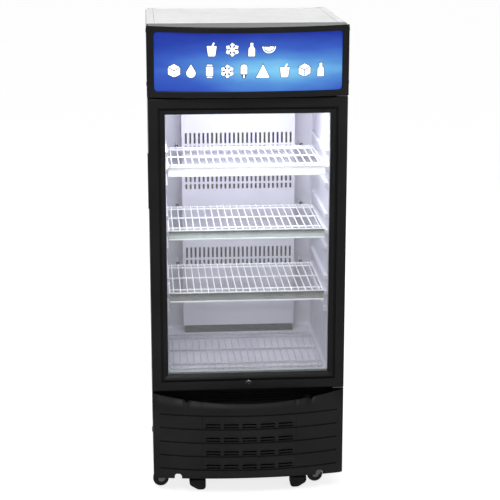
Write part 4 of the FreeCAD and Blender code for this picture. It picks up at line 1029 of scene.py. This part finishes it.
GRILLE_BOW = 46 * MM
GRILLE_SMILE = 27 * MM
GRILLE_ARCH = 8 * MM
GRILLE_RETURN = 44 * MM
GRILLE_WALL = 2 * MM
RIB_LOW = 88.4 * MM
RIB_PITCH = 45 * MM
RIB_HALF = 277 * MM
RIB_WIDTH = 5 * MM
RIB_DEPTH = 3.4 * MM
RIBS = 5
VENT_PITCH = 56.9 * MM
VENT_LENGTH = 45 * MM
VENT_SLOTS = ((5.4 * MM, 11.5 * MM), (16 * MM, 21 * MM))
VENT_COLUMNS = (-2, -1, 0, 1, 2)
SEAM = 147 * MM
NOTCH_X, NOTCH_HALF, NOTCH_DEPTH = 195 * MM, 8 * MM, 9 * MM
TOW_X, TOW_RADIUS, TOW_RISE = 223 * MM, 11.5 * MM, 16 * MM
SPARE_LINES = (160, 175, 245, 262, 290)


def sagitta(x, half, bow):
    """How far an arc over a half width lies before its ends, at x."""
    radius = (half * half + bow * bow) / (2 * bow)
    return math.sqrt(radius * radius - min(abs(x), half) ** 2) - (radius - bow)


def grille_plan():
    """Plan points of the cover with their outward directions and the x that they stand for."""
    lines = set()
    for column in VENT_COLUMNS:
        lines |= {column * VENT_PITCH - VENT_LENGTH / 2, column * VENT_PITCH + VENT_LENGTH / 2}
        lines |= {column * VENT_PITCH + VENT_LENGTH * share for share in (-0.25, 0, 0.25)}
    for side in (-1, 1):
        lines |= {side * (SEAM + step * MM) for step in (-0.8, 0, 0.8)}
        lines |= {side * (NOTCH_X + step * NOTCH_HALF) for step in (-1, -0.1, 0.1, 1)}
        lines |= {side * (TOW_X + TOW_RADIUS * math.sin(math.radians(turn)))
                  for turn in range(-90, 91, 15)}
        lines |= {side * RIB_HALF, side * (RIB_HALF + 1.5 * MM)}
        lines |= {side * x * MM for x in SPARE_LINES}
    plan = []
    corner = 5 * MM
    bow_centre = FRONT - GRILLE_BOW + (HALF ** 2 + GRILLE_BOW ** 2) / (2 * GRILLE_BOW)
    for x in sorted(lines):
        y = FRONT - sagitta(x, HALF, GRILLE_BOW)
        out = Vector((x, y - bow_centre)).normalized()
        plan.append((x, y, out, x))
    ends = []
    for turn in range(0, 91, 15):
        out = Vector((math.cos(math.radians(turn)), -math.sin(math.radians(turn))))
        ends.append((HALF - corner + corner * out.x, FRONT + 1.2 * MM + corner * (1 + out.y), out, HALF))
    back = (HALF, FRONT + GRILLE_RETURN, Vector((1, 0)), HALF)
    right = list(reversed(ends)) + [back]
    left = [(-x, y, Vector((-out.x, out.y)), -reach) for x, y, out, reach in reversed(right)]
    return left + plan + right


def grille_low_edge(x):
    """Height of the cover's lower edge: a low arch with a half round tow hole on each side."""
    base = low("front_grille").z
    edge = base + max(0.0, sagitta(x, HALF - 6 * MM, GRILLE_ARCH))
    off = abs(abs(x) - TOW_X)
    if off < TOW_RADIUS:
        middle = base + TOW_RISE - TOW_RADIUS + 4 * MM
        edge = max(edge, middle + math.sqrt(TOW_RADIUS ** 2 - off ** 2))
    return edge


def grille_top_edge(x):
    edge = high("front_grille").z - sagitta(x, HALF, GRILLE_SMILE)
    return edge - NOTCH_DEPTH if abs(abs(x) - NOTCH_X) < 0.2 * NOTCH_HALF else edge


def grille_cover():
    """Bowed cover drawn as a grid: grooves are sunk lines of it and vents are left out of it."""
    levels = []
    for rib in range(RIBS):
        base = RIB_LOW + rib * RIB_PITCH
        levels += [(base, 0), (base + 0.7 * MM, RIB_DEPTH), (base + RIB_WIDTH - 0.7 * MM, RIB_DEPTH),
                   (base + RIB_WIDTH, 0)]
        if rib < RIBS - 1:
            levels += [(base + edge, 0) for slot in VENT_SLOTS for edge in slot]
    plan = grille_plan()
    rings = []
    for level in [None] + levels + ["top"]:
        ring = []
        for x, y, out, reach in plan:
            if level is None:
                z, sunk = grille_low_edge(reach), 0
            elif level == "top":
                z, sunk = grille_top_edge(reach), 0
            else:
                z, sunk = level
                if abs(reach) > RIB_HALF + 1 * MM:
                    sunk = 0
                if abs(abs(reach) - SEAM) < 0.1 * MM:
                    sunk = max(sunk, 0.7 * MM)
            ring.append((x - out.x * sunk, y - out.y * sunk, z))
        rings.append(ring)
    points, faces = skin(rings, closed=False, caps=False)
    mesh = raw_mesh("grille_cover", points, [face for face in faces if not in_vent(points, face)])
    piece = add_piece("grille_cover", mesh, BLACK_ROUGH, "case", "black_plastic", ("front_grille",), 24)
    facing = sum(face.normal.y for face in mesh.polygons)
    thickened(piece, GRILLE_WALL, -1 if facing < 0 else 1).use_even_offset = True


def in_vent(points, face):
    """True for a cell of the grid that lies in one of the vents."""
    x = sum(points[index][0] for index in face) / len(face)
    z = sum(points[index][2] for index in face) / len(face)
    rise = (z - RIB_LOW) % RIB_PITCH
    row = int((z - RIB_LOW) // RIB_PITCH)
    if not 0 <= row < RIBS - 1 or not any(first < rise < last for first, last in VENT_SLOTS):
        return False
    return any(abs(x - column * VENT_PITCH) < VENT_LENGTH / 2 for column in VENT_COLUMNS)


def linings():
    """Painted shade: dark sheets stand for the shade behind the openings, in the air duct, in the gap
    under it and behind the louvres; black covers on the returns.
    """
    a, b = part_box("duct_panel")
    edge = 4 * MM
    across, depth = (a.x + edge, b.x - edge), (a.y + 2.6 * MM, a.y + 3.4 * MM)
    # Painted shade behind the duct's slots.
    sheet = block(across, depth, (a.z + 2 * edge, b.z - edge))
    add_shape("duct_shade_sheet", sheet, SHADE_BLACK, "case", "fins")
    # Painted shade in the gap under the duct.
    strip = block(across, depth, (CELL_LOW, a.z + edge))
    add_shape("return_gap_shade_sheet", strip, GAP_SHADE, "case", "fins")
    a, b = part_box("louvre_panel")
    # Painted shade behind the louvres.
    louvre_shade = block((a.x + edge, b.x - edge), (b.y + 0.4 * MM, b.y + 1.8 * MM),
                 (b.z - 56 * MM, b.z - 4 * MM))
    add_shape("louvre_shade_sheet", louvre_shade, SHADE_BLACK, "case", "black_metal")
    inner, outer, base = HALF - 23.6 * MM, HALF - 1 * MM, 76 * MM
    for name, reach in (("left", (-outer, -inner)), ("right", (inner, outer))):
        cover = block(reach, (CASE_FRONT - 1.0 * MM, CASE_FRONT - 0.2 * MM), (base, DOOR_LOW - 5 * MM))
        add_shape("return_cover_" + name, cover, BLACK, "case", "black_plastic")


def top_beads():
    """Pale beads on the top panel, along the side panels' folded flanges."""
    aside, half = HALF - 24 * MM, 0.9 * MM
    for name, middle in (("left", -aside), ("right", aside)):
        bead = block((middle - half, middle + half), (HEADER_BACK, CASE_BACK - 2 * MM),
                     (TOP, TOP + 0.25 * MM))
        add_shape("top_bead_" + name, bead, SPACER, "case", "case_paint")


def toe_sheet():
    """Sheet under the lower cover that hides the base's front edge."""
    half, steps = HALF - 20 * MM, 20
    rings = []
    for height in (72 * MM, 73.2 * MM):
        across = [step / steps * half for step in range(-steps, steps + 1)]
        outline = [(x, FRONT - sagitta(x, HALF, GRILLE_BOW) + 5 * MM, height) for x in across]
        rings.append(outline + [(x, FRONT + 13 * MM, height) for x in (half, -half)])
    add_shape("toe_sheet", skin(rings), BLACK_METAL, "case", "black_metal")


def foot(side):
    """Moulded wedge foot with a rounded toe and its screw stem."""
    node = "foot_left" if side < 0 else "foot_right"
    a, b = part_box(node)
    middle, half = side * 161 * MM, 26 * MM
    y = FRONT + 34 * MM
    inner, outer = middle - side * half, middle + side * half
    height = 34 * MM
    corners = [(inner, a.z, 11 * MM), (inner + side * 25 * MM, a.z, 22 * MM),
               (outer, a.z + height - 17 * MM, 14 * MM), (outer, a.z + height, 1.5 * MM),
               (inner, a.z + height, 1.5 * MM)]
    outline = rounded(corners, 7)
    depth = 20 * MM
    soft = 3 * MM
    centre = Vector((middle, a.z + height / 2))
    rings = []
    for along, inset in ((-depth, soft), (-depth + 0.3 * soft, 0.3 * soft), (-depth + soft, 0),
                         (depth - soft, 0), (depth - 0.3 * soft, 0.3 * soft), (depth, soft)):
        rings.append([(centre.x + (p.x - centre.x) * (1 - inset / half), y + along,
                       centre.y + (p.y - centre.y) * (1 - 2 * inset / height)) for p in outline])
    sunk = 3 * MM
    stem = lathe((middle, y, a.z + height - sunk), "z",
                 [(5 * MM, 0), (5 * MM, b.z - a.z - height + sunk)], 24)
    add_shape(node + "_wedge", merged([skin(rings), stem]), CLIP, node, "clip_black", (node,), 35)


# ---- plain pieces with rounded edges

# CAD nodes, body, material, slot and the width of the rounded edges in mm.
REFINED = [
    ("side_panel_left side_panel_right", "case", CASE, "case_paint", 0.8),
    ("top_panel back_panel", "case", CASE, "case_paint", 0.5),
    ("foam_core", "case", FOAM, "foam", 0),
    ("base_frame", "case", BLACK_METAL, "black_metal", 0.6),
    ("rear_spacers", "case", BLACK, "black_plastic", 3),
    ("header_top_cover", "case", COVER, "cover_metal", 0.6),
    ("lamp_tray", "case", LINER, "liner", 0.5),
    ("sign_lamps", "case", LAMP, "lamp", 1.5),
    ("cover_screws", "case", BLACK_METAL, "black_metal", 0.9),
    ("glass_spacer", "door", SPACER, "spacer", 0.4),
    ("louvre_panel", "case", BLACK_METAL, "black_metal", 0.3),
    ("thermostat_knob", "knob", CLIP, "clip_black", 0.9),
    ("shelf_ledges_left shelf_ledges_right", "case", LINER, "liner", 3.5),
    ("duct_panel", "case", LINER, "liner", 0),
    ("evaporator_coil", "case", FINS, "fins", 0.8),
    ("cold_fan_motor", "case", CLIP, "clip_black", 1.2),
    ("cold_fan_blades", "cold_fan", FAN, "fan_plastic", 0.4),
    ("cell_lamp", "case", LAMP, "lamp", 2.5),
    ("compressor", "case", CAN, "can_black", 1.2),
    ("compressor_grommets", "case", GROMMET, "grommet", 1.5),
    # The condenser coil's near-black is black paint and painted shade.
    ("condenser_coil", "case", FINS_BLACK_SHADED, "fins", 0.8),
    ("condenser_fan_blades", "condenser_fan", FAN, "fan_plastic", 0.4),
    ("condenser_fan_motor", "case", CLIP, "clip_black", 1.2),
    ("drain_pan", "case", PAN, "pan", 0.8),
    ("refrigerant_tubes", "case", COPPER, "copper", 0.8),
    ("caster_plates door_hinges", "case", STEEL, "steel", 0.6),
]


def plain_pieces():
    for nodes, body, material, slot, width in REFINED:
        for node in nodes.split():
            refined(node, material, body, slot, width * MM)
    for node in ("glass_outer", "glass_inner"):
        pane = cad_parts[node]
        pane.data.materials.clear()
        pane.data.materials.append(GLASS)
        pane.visible_shadow = False


# ---- camera, floor and light

CAMERA_PLACE = (-0.319, -4.568, 1.917)
CAMERA_YAW = -4.29
CAMERA_PITCH = 13.59
CAMERA_LENS = 105.3
CAMERA_SHIFT = -0.05
WORLD_LIGHT = 0.21
WORLD_SEEN = 1.02


def stand(name, thing, place, ahead):
    """Puts a camera or a lamp at a place, facing ahead."""
    holder = show(bpy.data.objects.new(name, thing))
    holder.location = place
    holder.rotation_mode = "QUATERNION"
    holder.rotation_quaternion = ahead.to_track_quat("-Z", "Y")
    return holder


def camera():
    """Where the reference view stands: high, a little left of the middle."""
    lens = bpy.data.cameras.new("camera")
    lens.sensor_width = 36
    lens.lens = CAMERA_LENS
    lens.shift_y = CAMERA_SHIFT
    lens.clip_end = 50
    yaw, pitch = math.radians(CAMERA_YAW), math.radians(CAMERA_PITCH)
    ahead = Vector((-math.sin(yaw) * math.cos(pitch), math.cos(yaw) * math.cos(pitch), -math.sin(pitch)))
    bpy.context.scene.camera = stand("camera", lens, CAMERA_PLACE, ahead)


def softbox(name, place, target, size, watts, colour=(1, 1, 1)):
    lamp = bpy.data.lights.new(name, "AREA")
    lamp.shape = "RECTANGLE"
    lamp.size, lamp.size_y = size
    lamp.energy = watts
    lamp.color = colour
    holder = stand(name, lamp, place, Vector(target) - Vector(place))
    holder.visible_camera = False
    return holder


def studio():
    """A white room: bright where it is seen straight on, softer as light."""
    world = bpy.data.worlds.new("studio")
    world.use_nodes = True
    tree = world.node_tree
    room = tree.nodes["Background"]
    room.inputs["Color"].default_value = (1, 1, 1, 1)
    path = tree.nodes.new("ShaderNodeLightPath")
    level = tree.nodes.new("ShaderNodeMapRange")
    level.inputs["To Min"].default_value = WORLD_LIGHT
    level.inputs["To Max"].default_value = WORLD_SEEN
    tree.links.new(path.outputs["Is Camera Ray"], level.inputs["Value"])
    tree.links.new(level.outputs["Result"], room.inputs["Strength"])
    bpy.context.scene.world = world
    softbox("key", (-0.9, -3.0, 4.0), (0, -0.1, 0.5), (2.0, 1.4), 52)
    softbox("fill", (2.2, -3.6, 1.6), (0, 0, 0.8), (1.4, 2.2), 5)
    softbox("back", (0.5, 3.2, 2.6), (0, 0, 0.8), (2.4, 1.6), 34)
    under_roof = (0, CASE_FRONT + 0.06, CELL_HIGH - 14 * MM)
    low_back = (0, CELL_BACK - 0.12, CELL_LOW + 0.3)
    lamp = softbox("cell_light", under_roof, low_back, (0.44, 0.03), 2.9, (0.96, 0.97, 1))
    lamp.visible_glossy = False


def floor():
    surface = Surface("floor_paper", specular=0.1)
    surface.feed("Base Color", surface.ramp(surface.noise(3, 3), [(0.3, 0.86), (0.7, 0.88)]))
    surface.rough(surface.noise(30, 3), 0.8, 0.9)
    surface.fix("Emission Color", (1, 1, 1, 1))
    surface.fix("Emission Strength", 0.8)
    reach = 30
    corners = [(-reach, -reach, 0), (reach, -reach, 0), (reach, reach, 0), (-reach, reach, 0)]
    mesh = raw_mesh("floor", corners, [(0, 1, 2, 3)])
    mesh.materials.append(surface.material)
    ground = show(bpy.data.objects.new("floor", mesh))
    ground.visible_glossy = False


header_housing()
sign_face()
sign_icons()
door_frame()
pull()
gasket()
lock()
tank()
mouth_frame()
for shelf_node in SHELVES + ("floor_rack",):
    wire_shelf(shelf_node)
shelf_hooks()
label_strips()
running_gear()
grille_cover()
linings()
top_beads()
toe_sheet()
foot(-1)
foot(1)
plain_pieces()
camera()
studio()
floor()
bpy.context.scene.view_settings.view_transform = "Standard"
